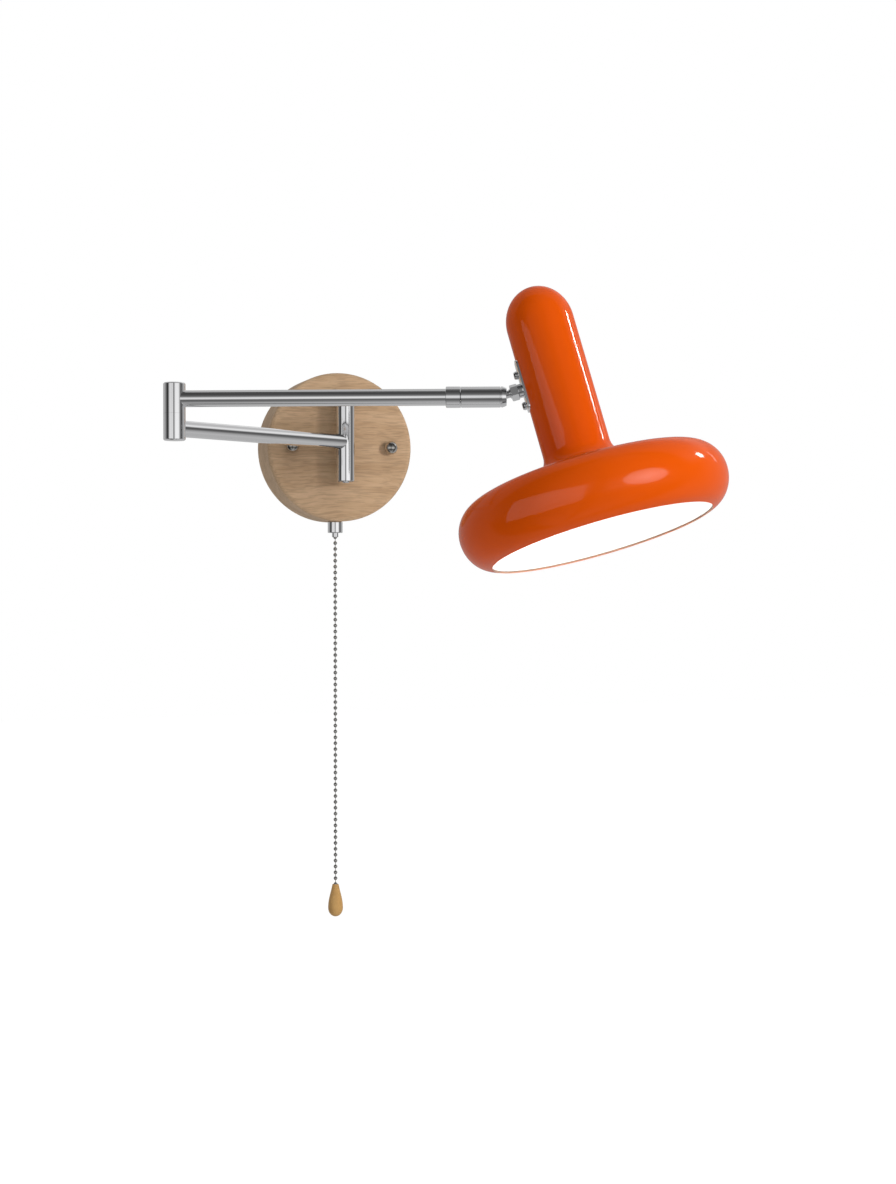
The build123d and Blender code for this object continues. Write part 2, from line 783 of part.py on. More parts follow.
def swivel_sleeve():
    """Sleeve that turns about the upper arm and houses the ball joint."""
    sleeve = rod_x(sleeve_r, sleeve_start, sleeve_end)
    sleeve -= rod_x(swivel_spindle_r + run_gap, sleeve_start - cut_over, 0)
    sleeve -= rod_x(sleeve_nut_bore_r, sleeve_start + sleeve_web, 0)
    return sleeve - rod_x(sleeve_seat_bore_r, sleeve_shoulder, sleeve_end + cut_over)


def swivel_mouth_ring():
    """Ring screwed in the sleeve's mouth that keeps the ball in."""
    cavity_r = ball_r + ball_play
    throat_r = math.sqrt(cavity_r ** 2 - throat_x ** 2)
    groove_r = sleeve_r - mouth_groove_depth
    groove_end = sleeve_end + mouth_groove
    body = Polyline((0, mouth_spigot_start), (sleeve_seat_bore_r, mouth_spigot_start),
                    (sleeve_seat_bore_r, sleeve_end), (groove_r, sleeve_end), (groove_r, groove_end),
                    (sleeve_r, groove_end), (sleeve_r, mouth_chamfer_start), (mouth_end_r, mouth_end),
                    (0, mouth_end), close=True)
    ring = lathe(body) - rod(cavity_r, mouth_spigot_start - cut_over, 0) - Sphere(cavity_r)
    flare = Polyline((0, 0), (throat_r, 0), (throat_r, throat_x), (flare_r, mouth_end),
                     (flare_r, mouth_end + cut_over), (0, mouth_end + cut_over), close=True)
    return Rot(0, 90, 0) * (ring - lathe(flare))


def ball_seat_cup():
    """Nylon cup that presses on the ball from behind."""
    cup = rod_x(sleeve_seat_bore_r - slip_gap, seat_cup_start, seat_cup_end)
    cup -= Sphere(ball_r + ball_play)
    return cup - rod_x(seat_cup_bore_r, seat_cup_start - cut_over, 0)


def seat_springs():
    """Two wave springs between the sleeve's shoulder and the seat cup."""
    ring = tube_x(seat_spring_r, seat_spring_inner_r, sleeve_shoulder + slip_gap,
                  sleeve_shoulder + slip_gap + seat_spring_height)
    return Compound([ring, Pos(seat_spring_height + slip_gap, 0, 0) * ring])


# Lamp head

def ball_stud():
    """Ball with its hollow stem, threaded at the far end."""
    plate_far = shade_axis_x - neck_r
    stud = Sphere(ball_r) + rod_x(stem_r, 0, stem_wide_start + slip_gap)
    stud += rod_x(stem_wide_r, stem_wide_start, plate_far + 0.8 * shade_wall)
    return stud - rod_x(stem_bore_r, -2 * ball_r, shade_axis_x)


def stud_nut():
    """Hexagon nut that locks the stud to the saddle plate."""
    nut = hex_bar(stud_nut_flat, stud_nut_start, stud_nut_start + stud_nut_height)
    return Rot(0, 90, 0) * nut - rod_x(stem_wide_r, 0, shade_axis_x)


def saddle_plate():
    """Plate curved to the neck, with a boss for the stud; the screws hold it to the shade."""
    outer_r = neck_r + saddle_thickness
    ring = Pos(shade_axis_x, 0, 0) * rod(outer_r, saddle_low, saddle_high)
    height = saddle_high - saddle_low
    shape = RectangleRounded(height, saddle_width, saddle_corner_r)
    reach = extrude(shape, shade_axis_x)
    plate = ring & (Rot(0, 90, 0) * Pos(-(saddle_low + saddle_high) / 2, 0, 0) * reach)
    plate += rod_x(saddle_boss_r, stud_nut_start + stud_nut_height, shade_axis_x - neck_r)
    plate -= Pos(shade_axis_x, 0, 0) * rod(neck_r, saddle_low - cut_over, saddle_high + cut_over)
    plate -= rod_x(stem_wide_r, 0, shade_axis_x)
    for side in (-1, 1):
        plate -= Pos(0, 0, side * saddle_screw_z) * rod_x(saddle_screw_r + slip_gap, 0, shade_axis_x)
    return plate


def saddle_screws():
    """Two pan head screws through the plate and the neck into the holder bracket."""
    seat = shade_axis_x - neck_r - saddle_thickness
    tip = shade_axis_x - neck_inner_r + bracket_thickness + slip_gap
    screw = rod_x(saddle_screw_r, seat, tip)
    head = bevelled(rod(saddle_screw_head_r, seat - saddle_screw_head, seat), saddle_screw_head / 3, [-1])
    screw += Rot(0, 90, 0) * head
    return Compound([Pos(0, 0, side * saddle_screw_z) * screw for side in (-1, 1)])


def shade_outline(inset):
    """Closed half outline of the shade, moved inwards by inset, from the top to the rim."""
    slope = math.radians(cone_slope)
    tube_r = neck_r - inset
    dome = dome_height - inset
    dome_z = shade_top - dome_height
    half = bowl_half_width - inset
    rise = bowl_rise - inset
    sag = bowl_sag - inset
    fillet_r = foot_fillet_r + inset
    rim_r = bowl_centre_r + half * math.cos(math.radians(rim_turn))
    rim_z = -bowl_drop - sag * math.sin(math.radians(rim_turn))

    turn = math.atan(math.tan(slope) * half / rise)
    shoulder = (bowl_centre_r + half * math.sin(turn), -bowl_drop + rise * math.cos(turn))
    cone_z = shoulder[1] + (shoulder[0] - tube_r) * math.tan(slope)
    foot_z = cone_z + fillet_r * (1 - math.sin(slope)) / math.cos(slope)
    foot_centre = (tube_r + fillet_r, foot_z)
    foot_end = (foot_centre[0] - fillet_r * math.sin(slope), foot_z - fillet_r * math.cos(slope))
    below = rim_z - (inset + cut_over if inset > 0 else 0)

    outline = EllipticalCenterArc((0, dome_z), tube_r, dome, 90, arc_size=-90)
    outline += Line((tube_r, dome_z), (tube_r, foot_z))
    outline += CenterArc(foot_centre, fillet_r, 180, 90 - cone_slope)
    outline += Line(foot_end, shoulder)
    arc_turn = 90 - math.degrees(turn)
    outline += EllipticalCenterArc((bowl_centre_r, -bowl_drop), half, rise, arc_turn, arc_size=-arc_turn)
    outline += EllipticalCenterArc((bowl_centre_r, -bowl_drop), half, sag, 0, arc_size=-rim_turn)
    outline += Polyline((rim_r, rim_z), (rim_r, below), (0, below), (0, dome_z + dome)) \
        if inset > 0 else Polyline((rim_r, rim_z), (0, rim_z), (0, dome_z + dome))
    return outline, rim_r, rim_z


def shade():
    """Spun metal shade in one piece: domed neck, sloping top, round shoulder, rolled rim."""
    outside, outer_r, outer_z = shade_outline(0)
    inside, inner_r, inner_z = shade_outline(shade_wall)
    shell = lathe(outside) - lathe(inside)
    bead = Pos((outer_r + inner_r) / 2, (outer_z + inner_z) / 2) * Circle(rim_bead_r)
    shell += revolve(Plane.XZ * bead, Axis.Z)
    neck_side = rod_x(stem_wide_r + slip_gap, -shade_axis_x, 0)
    for side in (-1, 1):
        neck_side += Pos(0, 0, side * saddle_screw_z) * rod_x(saddle_screw_r + slip_gap, -shade_axis_x, 0)
    return shell - neck_side


# Lamp holder and bulb, about the shade's own axis

def holder_bracket():
    """Angle bracket inside the neck: a curved upright leg and a level leg for the nipple."""
    half = bracket_width / 2
    room = rod(neck_inner_r, bracket_low, bracket_high)
    upright = room - rod(neck_inner_r - bracket_thickness, bracket_low - cut_over, bracket_high + cut_over)
    upright &= block(-neck_r, 0, -half, half, bracket_low, bracket_high)
    level = block(-neck_r, bracket_far, -half, half, bracket_high - bracket_thickness, bracket_high) & room
    bracket = upright + level
    bracket -= rod(nipple_r + slip_gap, 0, bracket_high + cut_over)
    bracket -= rod_x(bracket_wire_hole_r, -neck_r, 0)
    for side in (-1, 1):
        bracket -= Pos(0, 0, side * saddle_screw_z) * rod_x(saddle_screw_r, -neck_r, 0)
    return bracket


def holder_fittings():
    """Threaded nipple for the lamp holder and the two nuts that clamp it to the bracket."""
    nipple = tube(nipple_r, nipple_bore_r, nipple_low, nipple_high)
    low = bracket_high - bracket_thickness - holder_nut_height
    nut = hex_bar(holder_nut_flat, 0, holder_nut_height) - rod(nipple_r, -cut_over, 2 * holder_nut_height)
    return Compound([nipple, Pos(0, 0, bracket_high) * nut, Pos(0, 0, low) * nut])


def lamp_holder_cap():
    """Upper cup of the lamp holder."""
    cup = bevelled(rod(holder_r, holder_cap_bottom, holder_cap_top), holder_wall, [1])
    cup -= rod(holder_r - holder_wall, holder_cap_bottom - cut_over, holder_cap_top - 2 * holder_wall)
    cup -= rod(nipple_r, 0, holder_cap_top + cut_over)
    return cup - Pos(0, 0, holder_lead_z) * rod_x(sheath_r + slip_gap, -2 * holder_r, 0)


def lamp_holder_body():
    """Lower barrel of the lamp holder, its spigot screwed in the cap."""
    barrel = rod(holder_r, holder_bottom, holder_cap_bottom)
    barrel += rod(holder_spigot_r, holder_cap_bottom, holder_cap_bottom + holder_spigot_height)
    barrel -= rod(shell_r, holder_bottom - cut_over, holder_cap_bottom - holder_web)
    return barrel - rod(contact_r + 2 * holder_wall, holder_cap_bottom, holder_cap_top)


def holder_shell():
    """Brass threaded shell for the bulb's cap."""
    return tube(shell_r, shell_inner_r, shell_bottom, holder_cap_bottom - holder_web)


def holder_contact():
    """Sprung centre contact under the holder's web."""
    return rod(contact_r, bulb_tip, holder_cap_bottom - holder_web)


def bulb_cap():
    """Metal screw cap of the bulb with its end contact."""
    cap = bevelled(rod(bulb_cap_r, bulb_cap_bottom, bulb_cap_top), bulb_cap_wall * 4, [1])
    cap -= rod(bulb_cap_r - bulb_cap_wall, bulb_cap_bottom - cut_over, bulb_cap_top - 4 * bulb_cap_wall)
    return cap + rod(bulb_tip_r, bulb_cap_top - bulb_cap_wall, bulb_tip)


def bulb_globe():
    """Opal glass globe with a short neck that is cemented in the cap."""
    neck = rod(bulb_neck_r, -globe_drop, bulb_neck_top)
    hollow = rod(bulb_neck_r - glass_wall, -globe_drop, bulb_neck_top + cut_over)
    globe = Pos(0, 0, -globe_drop) * Sphere(globe_r) + neck
    return globe - (Pos(0, 0, -globe_drop) * Sphere(globe_r - glass_wall) + hollow)


def bulb_led_stem():
    """Column and board that carry the light source inside the globe."""
    column = rod(led_column_r, led_board_z, bulb_cap_top - 4 * bulb_cap_wall)
    return column + rod(led_board_r, led_board_z - led_board_height, led_board_z)


def head_lead():
    """Sheathed lead from the ball through the plate into the lamp holder."""
    return rod_x(sheath_r, sheath_start, sheath_end)


nodes = {
    "wooden_base": (Pos(0, 0, 0), wooden_base()),
    "mounting_strap": (Pos(0, 0, 0), mounting_strap()),
    "mounting_studs": (Pos(0, 0, 0), mounting_studs()),
    "cap_nuts": (Pos(0, 0, 0), cap_nuts()),
    "earth_screw": (Pos(0, 0, 0), earth_screw()),
    "pivot_block": (pivot_place, pivot_block()),
    "pivot_stub": (pivot_place, pivot_stub()),
    "stub_fasteners": (Pos(0, 0, 0), stub_fasteners()),
    "pivot_spindle": (pivot_place, pivot_spindle()),
    "pivot_retainer": (pivot_place, pivot_retainer()),
    "pivot_bottom_screw": (pivot_place, pivot_bottom_screw()),
    "terminal_block": (Pos(0, 0, 0), terminal_block()),
    "terminal_screws": (Pos(0, 0, 0), terminal_screws()),
    "base_leads": (Pos(0, 0, 0), base_leads()),
    "pull_switch_body": (switch_place, pull_switch_body()),
    "pull_switch_cover": (switch_place, pull_switch_cover()),
    "switch_contacts": (switch_place, switch_contacts()),
    "switch_ferrule": (switch_place, switch_ferrule()),
    "switch_plunger": (switch_place, switch_plunger()),
    "switch_spring": (switch_place, switch_spring()),
    "pull_chain": (switch_place, pull_chain()),
    "chain_coupling": (switch_place, chain_coupling()),
    "wooden_bob": (switch_place, wooden_bob()),
    "wall_pivot_sleeve": (lower_place, wall_pivot_sleeve()),
    "pivot_bushes": (lower_place, pivot_bushes()),
    "lower_arm_tube": (lower_place, lower_arm_tube()),
    "lower_arm_leads": (lower_place, arm_leads(lead_end_gap, lower_arm_length - lead_end_gap, lead_rest)),
    "elbow_lower_sleeve": (elbow_place, elbow_lower_sleeve()),
    "elbow_pin": (elbow_place, elbow_pin()),
    "elbow_bottom_cap": (elbow_place, elbow_bottom_cap()),
    "elbow_friction_washer": (elbow_place, elbow_friction_washer()),
    "elbow_fasteners": (elbow_place, elbow_fasteners()),
    "elbow_upper_sleeve": (upper_place, elbow_upper_sleeve()),
    "elbow_bushes": (upper_place, elbow_bushes()),
    "elbow_top_cap": (upper_place, elbow_top_cap()),
    "upper_arm_tube": (upper_place, upper_arm_tube()),
    "upper_arm_leads": (upper_place, arm_leads(lead_end_gap, swivel_spindle_end, 0)),
    "arm_end_collar": (upper_place, arm_end_collar()),
    "swivel_spindle": (upper_place, swivel_spindle()),
    "swivel_friction_discs": (upper_place, swivel_friction_discs()),
    "swivel_nut": (upper_place, swivel_nut()),
    "swivel_sleeve": (swivel_place, swivel_sleeve()),
    "swivel_mouth_ring": (swivel_place, swivel_mouth_ring()),
    "ball_seat_cup": (swivel_place, ball_seat_cup()),
    "seat_springs": (swivel_place, seat_springs()),
    "ball_stud": (lamp_place, ball_stud()),
    "stud_nut": (lamp_place, stud_nut()),
    "saddle_plate": (lamp_place, saddle_plate()),
    "saddle_screws": (lamp_place, saddle_screws()),
    "shade": (lamp_axis, shade()),
    "holder_bracket": (lamp_axis, holder_bracket()),
    "holder_fittings": (lamp_axis, holder_fittings()),
    "lamp_holder_cap": (lamp_axis, lamp_holder_cap()),
    "lamp_holder_body": (lamp_axis, lamp_holder_body()),
    "holder_shell": (lamp_axis, holder_shell()),
    "holder_contact": (lamp_axis, holder_contact()),
    "bulb_cap": (lamp_axis, bulb_cap()),
    "bulb_globe": (lamp_axis, bulb_globe()),
    "bulb_led_stem": (lamp_axis, bulb_led_stem()),
    "head_lead": (lamp_place, head_lead()),
}

for name, (place, piece) in nodes.items():
    export_step(place * piece, f"parts/{name}.step")
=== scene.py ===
import math

import bmesh
import bpy
from mathutils import Matrix, Vector


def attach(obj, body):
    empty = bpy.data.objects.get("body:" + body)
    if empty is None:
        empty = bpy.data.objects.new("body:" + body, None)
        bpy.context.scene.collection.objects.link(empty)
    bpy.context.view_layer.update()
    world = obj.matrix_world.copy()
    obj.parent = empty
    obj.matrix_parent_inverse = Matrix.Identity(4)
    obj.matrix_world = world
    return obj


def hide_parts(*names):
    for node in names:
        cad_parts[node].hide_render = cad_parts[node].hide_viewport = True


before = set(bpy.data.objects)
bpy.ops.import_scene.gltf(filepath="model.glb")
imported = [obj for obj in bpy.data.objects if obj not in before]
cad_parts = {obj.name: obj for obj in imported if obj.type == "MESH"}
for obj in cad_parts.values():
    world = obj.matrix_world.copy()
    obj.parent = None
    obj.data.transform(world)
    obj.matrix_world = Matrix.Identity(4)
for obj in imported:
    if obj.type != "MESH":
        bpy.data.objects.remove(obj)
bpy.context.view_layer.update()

bpy.context.scene.view_settings.view_transform = "Standard"

# Camera
# The lamp is seen from the left and a little above its middle, from 1.4 m. The lens is the one
# that the photograph was taken with, and its picture is 896 wide and 1184 high.
def in_scene(name, data):
    """New object of this data, put in the scene."""
    made = bpy.data.objects.new(name, data)
    bpy.context.scene.collection.objects.link(made)
    return made


lens = bpy.data.cameras.new("camera")
lens.sensor_fit = "HORIZONTAL"
lens.sensor_width = 36.0
lens.lens = 68.46
camera = in_scene("camera", lens)
camera.location = (-0.3599, -1.3717, -0.0968)
camera.rotation_euler = (math.radians(89.154), 0.0, math.radians(-18.696))
bpy.context.scene.camera = camera

# Pull chain
# A nickel plated ball chain: hollow brass balls pressed on short links of wire. It hangs
# straight from the spout of the switch and ends in a bell coupling and a turned beech drop.
chain_x, chain_y = 0.0, -0.020
chain_top = -0.07255
chain_length = 0.2847
chain_end = chain_top - chain_length
chain_ball_r = 0.00162
chain_pitch = 0.0048
chain_wire_r = 0.00038
chain_straight = 0.0192


def feed(tree, node, inputs):
    """Sets a node's inputs to values, or links them to the outputs of other nodes."""
    for socket, value in inputs.items():
        if isinstance(value, bpy.types.NodeSocket):
            tree.links.new(value, node.inputs[socket])
        else:
            node.inputs[socket].default_value = value


def add_node(tree, kind, inputs, **settings):
    """The outputs of a new node, made with its own settings and fed with inputs."""
    node = tree.nodes.new(kind)
    for setting, value in settings.items():
        setattr(node, setting, value)
    feed(tree, node, inputs)
    return node.outputs


def noise(tree, place, scale, detail, **inputs):
    """Soft random values at a place, from 0 to 1."""
    made = add_node(tree, "ShaderNodeTexNoise", {"Vector": place, "Scale": scale, "Detail": detail, **inputs})
    return made["Fac"]


def new_finish(name):
    """New material, with its node tree, its shader and the place on the piece."""
    finish = bpy.data.materials.new(name)
    finish.use_nodes = True
    tree = finish.node_tree
    place = add_node(tree, "ShaderNodeTexCoord", {})["Object"]
    return finish, tree, tree.nodes["Principled BSDF"], place


def polished_metal(name, colour, roughness, haze=0.03):
    """Plated and polished metal, with a faint haze of fine wiping marks."""
    finish, tree, shader, place = new_finish(name)
    haze_span = add_node(tree, "ShaderNodeMapRange", {
        "Value": noise(tree, place, 160.0, 5.0), "From Min": 0.35, "From Max": 0.7,
        "To Min": roughness, "To Max": roughness + haze})
    feed(tree, shader, {"Metallic": 1.0, "Base Color": (*colour, 1.0), "Roughness": haze_span["Result"]})
    return finish


def colour_ramp(tree, share, stops):
    """Colour that changes with a share from 0 to 1, from stops of (share, colour)."""
    node = tree.nodes.new("ShaderNodeValToRGB")
    marks = node.color_ramp.elements
    while len(marks) < len(stops):
        marks.new(0.5)
    for mark, (position, colour) in zip(marks, stops):
        mark.position = position
        mark.color = (*colour, 1.0)
    tree.links.new(share, node.inputs["Fac"])
    return node.outputs["Color"]


def beech_or_oak(name, light, dark, along, figure, streak, gloss, line_depth):
    """Oiled wood with its grain along one axis.

    figure is the grain's coarseness, streak and line_depth are its contrast."""
    finish, tree, shader, place = new_finish(name)
    sway = add_node(tree, "ShaderNodeTexNoise", {"Vector": place, "Scale": 20.0, "Detail": 1.0})
    bend = add_node(tree, "ShaderNodeVectorMath", {0: sway["Color"], 1: (0.008, 0.008, 0.008), 2: place},
                    operation="MULTIPLY_ADD")
    stretch = tuple(0.07 if axis == along else 1.0 for axis in "XYZ")
    lie = add_node(tree, "ShaderNodeMapping", {"Vector": bend["Vector"], "Scale": stretch})["Vector"]
    rings = noise(tree, lie, figure, 3.0, Distortion=0.6)
    pores = noise(tree, lie, figure * 7.0, 6.0, Roughness=0.65)
    clouds = noise(tree, lie, figure * 0.3, 2.0)
    lines = noise(tree, lie, figure * 8.0, 2.0)
    both = add_node(tree, "ShaderNodeMix", {"Factor": 0.42, "A": rings, "B": pores}, data_type="FLOAT")
    tone = colour_ramp(tree, both["Result"], ((0.5 - streak, dark), (0.5 + streak, light)))
    cloudy = add_node(tree, "ShaderNodeMapRange", {"Value": clouds, "To Min": 0.86, "To Max": 1.12})
    tint = add_node(tree, "ShaderNodeVectorMath", {0: tone, "Scale": cloudy["Result"]}, operation="SCALE")
    depth = add_node(tree, "ShaderNodeMapRange", {
        "Value": lines, "From Min": 0.40, "From Max": 0.52, "To Min": 1.0 - line_depth})
    grained = add_node(tree, "ShaderNodeVectorMath", {0: tint["Vector"], "Scale": depth["Result"]},
                       operation="SCALE")
    rough = add_node(tree, "ShaderNodeMapRange", {"Value": pores, "To Min": gloss + 0.12, "To Max": gloss})
    relief = add_node(tree, "ShaderNodeBump", {"Height": pores, "Strength": 0.25, "Distance": 0.00012})
    feed(tree, shader, {"Specular IOR Level": 0.35, "Base Color": grained["Vector"],
                        "Roughness": rough["Result"], "Normal": relief["Normal"]})
    return finish


edge_flat = 0.00012
flat_run = 0.0012


def softened(corners, steps=4):
    """Outline points from corners of (radius, height, rounding), each corner cut by an arc.

    A point close beside each arc keeps the long flat sides next to it evenly shaded."""
    points = []
    last = len(corners) - 1
    for n, (r, z, rounding) in enumerate(corners):
        if rounding <= 0 or n in (0, last):
            points.append((r, z))
            continue
        here = Vector((r, z))
        back = (Vector(corners[n - 1][:2]) - here).normalized()
        on = (Vector(corners[n + 1][:2]) - here).normalized()
        half = back.angle(on) / 2
        reach = rounding / math.tan(half)
        centre = here + (back + on).normalized() * rounding / math.sin(half)
        start = here + back * reach - centre
        turn = start.angle_signed(here + on * reach - centre)
        if (Vector(corners[n - 1][:2]) - here).length > reach + flat_run:
            points.append(tuple(here + back * (reach + edge_flat)))
        for step in range(steps + 1):
            spoke = start.copy()
            spoke.rotate(Matrix.Rotation(-turn * step / steps, 2))
            points.append(tuple(centre + spoke))
        if (Vector(corners[n + 1][:2]) - here).length > reach + flat_run:
            points.append(tuple(here + on * (reach + edge_flat)))
    return points


def new_tree(name, inputs):
    """Empty tree of geometry nodes, and what it is given, from its inputs' names and kinds."""
    tree = bpy.data.node_groups.new(name, "GeometryNodeTree")
    for socket, kind in inputs:
        tree.interface.new_socket(socket, in_out="INPUT", socket_type="NodeSocket" + kind)
    tree.interface.new_socket("Piece", in_out="OUTPUT", socket_type="NodeSocketGeometry")
    return tree, tree.nodes.new("NodeGroupInput").outputs


def put_out(tree, given, geometry):
    """A tree's last nodes: the geometry is made real, given its finish and put out."""
    solid = add_node(tree, "GeometryNodeRealizeInstances", {"Geometry": geometry})
    coat = add_node(tree, "GeometryNodeSetMaterial", {
        "Geometry": solid["Geometry"], "Material": given["Finish"]})
    add_node(tree, "NodeGroupOutput", {"Piece": coat["Geometry"]})


def turning_tree():
    """Nodes that turn an outline, given as a row of points, about the Z axis."""
    tree, given = new_tree("turned on a lathe", (
        ("Outline", "Geometry"), ("Steps Round", "Int"), ("Finish", "Material")))
    count = add_node(tree, "GeometryNodeAttributeDomainSize", {"Geometry": given["Outline"]})["Point Count"]
    seam = add_node(tree, "ShaderNodeMath", {0: given["Steps Round"], 1: 1.0})
    sheet = add_node(tree, "GeometryNodeMeshGrid", {"Vertices X": seam["Value"], "Vertices Y": count})
    index = add_node(tree, "GeometryNodeInputIndex", {})["Index"]
    along = add_node(tree, "ShaderNodeMath", {0: index, 1: count}, operation="FLOORED_MODULO")
    around = add_node(tree, "ShaderNodeMath", {0: index, 1: count}, operation="DIVIDE")
    whole = add_node(tree, "ShaderNodeMath", {0: around["Value"]}, operation="FLOOR")
    share = add_node(tree, "ShaderNodeMath", {0: whole["Value"], 1: given["Steps Round"]},
                     operation="DIVIDE")
    angle = add_node(tree, "ShaderNodeMath", {0: share["Value"], 1: 2 * math.pi}, operation="MULTIPLY")
    position = add_node(tree, "GeometryNodeInputPosition", {})["Position"]
    point = add_node(tree, "GeometryNodeSampleIndex", {
        "Geometry": given["Outline"], "Value": position, "Index": along["Value"]},
        data_type="FLOAT_VECTOR")
    turn = add_node(tree, "ShaderNodeVectorRotate", {"Vector": point["Value"], "Angle": angle["Value"]},
                    rotation_type="Z_AXIS")
    place = add_node(tree, "GeometryNodeSetPosition", {
        "Geometry": sheet["Mesh"], "Position": turn["Vector"]})
    weld = add_node(tree, "GeometryNodeMergeByDistance", {"Geometry": place["Geometry"], "Distance": 1e-6})
    put_out(tree, given, weld["Geometry"])
    return tree


def mesh_of(host):
    """Mesh of an object as its curve or its modifiers make it. The object itself goes."""
    bpy.context.view_layer.update()
    ready = host.evaluated_get(bpy.context.evaluated_depsgraph_get())
    mesh = bpy.data.meshes.new_from_object(ready)
    bpy.data.objects.remove(host)
    return mesh


def made_by_nodes(name, host, tree, sizes):
    """Plain mesh object of what a node tree makes of its host, with the tree's inputs set."""
    work = host.modifiers.new("making", "NODES")
    work.node_group = tree
    for item in tree.interface.items_tree:
        if item.in_out == "INPUT" and item.name in sizes:
            work[item.identifier] = sizes[item.name]
    mesh = mesh_of(host)
    mesh.name = name
    mesh.materials.clear()
    mesh.materials.append(sizes["Finish"])
    for face in mesh.polygons:
        face.material_index = 0
    return in_scene(name, mesh)


def cleaned(piece, place=None, crease=32.0):
    """Faces pointing outwards, smooth up to the crease angle, and the place in the mesh."""
    work = bmesh.new()
    work.from_mesh(piece.data)
    bmesh.ops.remove_doubles(work, verts=work.verts, dist=1e-6)
    bmesh.ops.recalc_face_normals(work, faces=work.faces)
    work.to_mesh(piece.data)
    work.free()
    if place is not None:
        piece.data.transform(place)
    piece.data.shade_smooth()
    piece.data.set_sharp_from_angle(angle=math.radians(crease))
    return piece


lathe = turning_tree()


def turned(name, outline, finish, place=None, steps=48, crease=32.0):
    """Piece turned about its own Z axis from outline points in radius and height, in metres."""
    row = bpy.data.meshes.new(name)
    edges = [(n, n + 1) for n in range(len(outline) - 1)]
    row.from_pydata([(r, 0.0, z) for r, z in outline], edges, [])
    host = in_scene(name + "_outline", row)
    piece = made_by_nodes(name, host, lathe, {"Steps Round": steps, "Finish": finish})
    return cleaned(piece, place, crease)


def ball_chain_tree():
    """Nodes that thread balls on a wire along a curve, a pitch apart."""
    tree, given = new_tree("ball chain", (
        ("Route", "Geometry"), ("Ball Pitch", "Float"), ("Ball Radius", "Float"),
        ("Wire Radius", "Float"), ("Finish", "Material")))
    spots = add_node(tree, "GeometryNodeCurveToPoints", {
        "Curve": given["Route"], "Length": given["Ball Pitch"]}, mode="LENGTH")
    ball = add_node(tree, "GeometryNodeMeshUVSphere", {
        "Segments": 14, "Rings": 9, "Radius": given["Ball Radius"]})
    balls = add_node(tree, "GeometryNodeInstanceOnPoints", {
        "Points": spots["Points"], "Instance": ball["Mesh"]})
    ring = add_node(tree, "GeometryNodeCurvePrimitiveCircle", {
        "Resolution": 8, "Radius": given["Wire Radius"]})
    wire = add_node(tree, "GeometryNodeCurveToMesh", {
        "Curve": given["Route"], "Profile Curve": ring["Curve"], "Fill Caps": True})
    both = tree.nodes.new("GeometryNodeJoinGeometry")
    for geometry in (balls["Instances"], wire["Mesh"]):
        tree.links.new(geometry, both.inputs["Geometry"])
    put_out(tree, given, both.outputs["Geometry"])
    return tree


def chain_route(name):
    """The chain's line: straight down from the spout to the coupling."""
    line = bpy.data.curves.new(name, "CURVE")
    line.dimensions = "3D"
    spline = line.splines.new("NURBS")
    heights = (chain_top, chain_top - chain_straight, chain_end + chain_straight, chain_end)
    spline.points.add(len(heights) - 1)
    for point, z in zip(spline.points, heights):
        point.co = (chain_x, chain_y, z, 1.0)
    spline.order_u = 3
    spline.use_endpoint_u = True
    spline.resolution_u = 24
    return in_scene(name, line)


chrome = polished_metal("chrome", (0.86, 0.86, 0.87), 0.045)
chain_nickel = polished_metal("chain_nickel", (0.62, 0.61, 0.59), 0.14)

route_mesh = mesh_of(chain_route("chain_line"))
bpy.data.meshes.remove(route_mesh)
ball_chain = made_by_nodes("ball_chain", chain_route("ball_chain_line"), ball_chain_tree(), {
    "Ball Pitch": chain_pitch, "Ball Radius": chain_ball_r, "Wire Radius": chain_wire_r,
    "Finish": chain_nickel})
cleaned(ball_chain, crease=60.0)
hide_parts("pull_chain")
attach(ball_chain, "pull_chain")

bell_top = (chain_x, chain_y, chain_end)
bell = turned("bell_coupling", softened([
    (0.0, 0.0, 0), (0.00120, 0.0, 0.0002), (0.00215, -0.0010, 0.0005), (0.0022, -0.0029, 0.0002),
    (0.0, -0.0029, 0)]), chrome, Matrix.Translation(bell_top), steps=24)
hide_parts("chain_coupling")
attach(bell, "pull_chain")

beech = beech_or_oak("oiled_beech", (0.66, 0.40, 0.145), (0.50, 0.27, 0.085), "Z", 260.0, 0.2, 0.38, 0.08)
bob_r = 0.0061
bob_neck_r = 0.0027
bob_length = 0.0266
bob_shoulder = 0.0006
bob_widest = 0.0195
bob_side = [(0.0, 0.0), (bob_neck_r - 0.0006, 0.0), (bob_neck_r - 0.0002, -0.0002)]
for step in range(15):
    down = step / 14
    swell = math.sin(down * math.pi / 2) ** 1.25
    bob_side.append((bob_neck_r + (bob_r - bob_neck_r) * swell,
                     -bob_shoulder - (bob_widest - bob_shoulder) * down))
for step in range(1, 13):
    bend = math.pi / 2 * step / 12
    bob_side.append((bob_r * math.cos(bend), -bob_widest - (bob_length - bob_widest) * math.sin(bend)))
bob = turned("turned_bob", bob_side, beech, Matrix.Translation(bell_top), steps=40, crease=60.0)
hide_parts("wooden_bob")
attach(bob, "pull_chain")

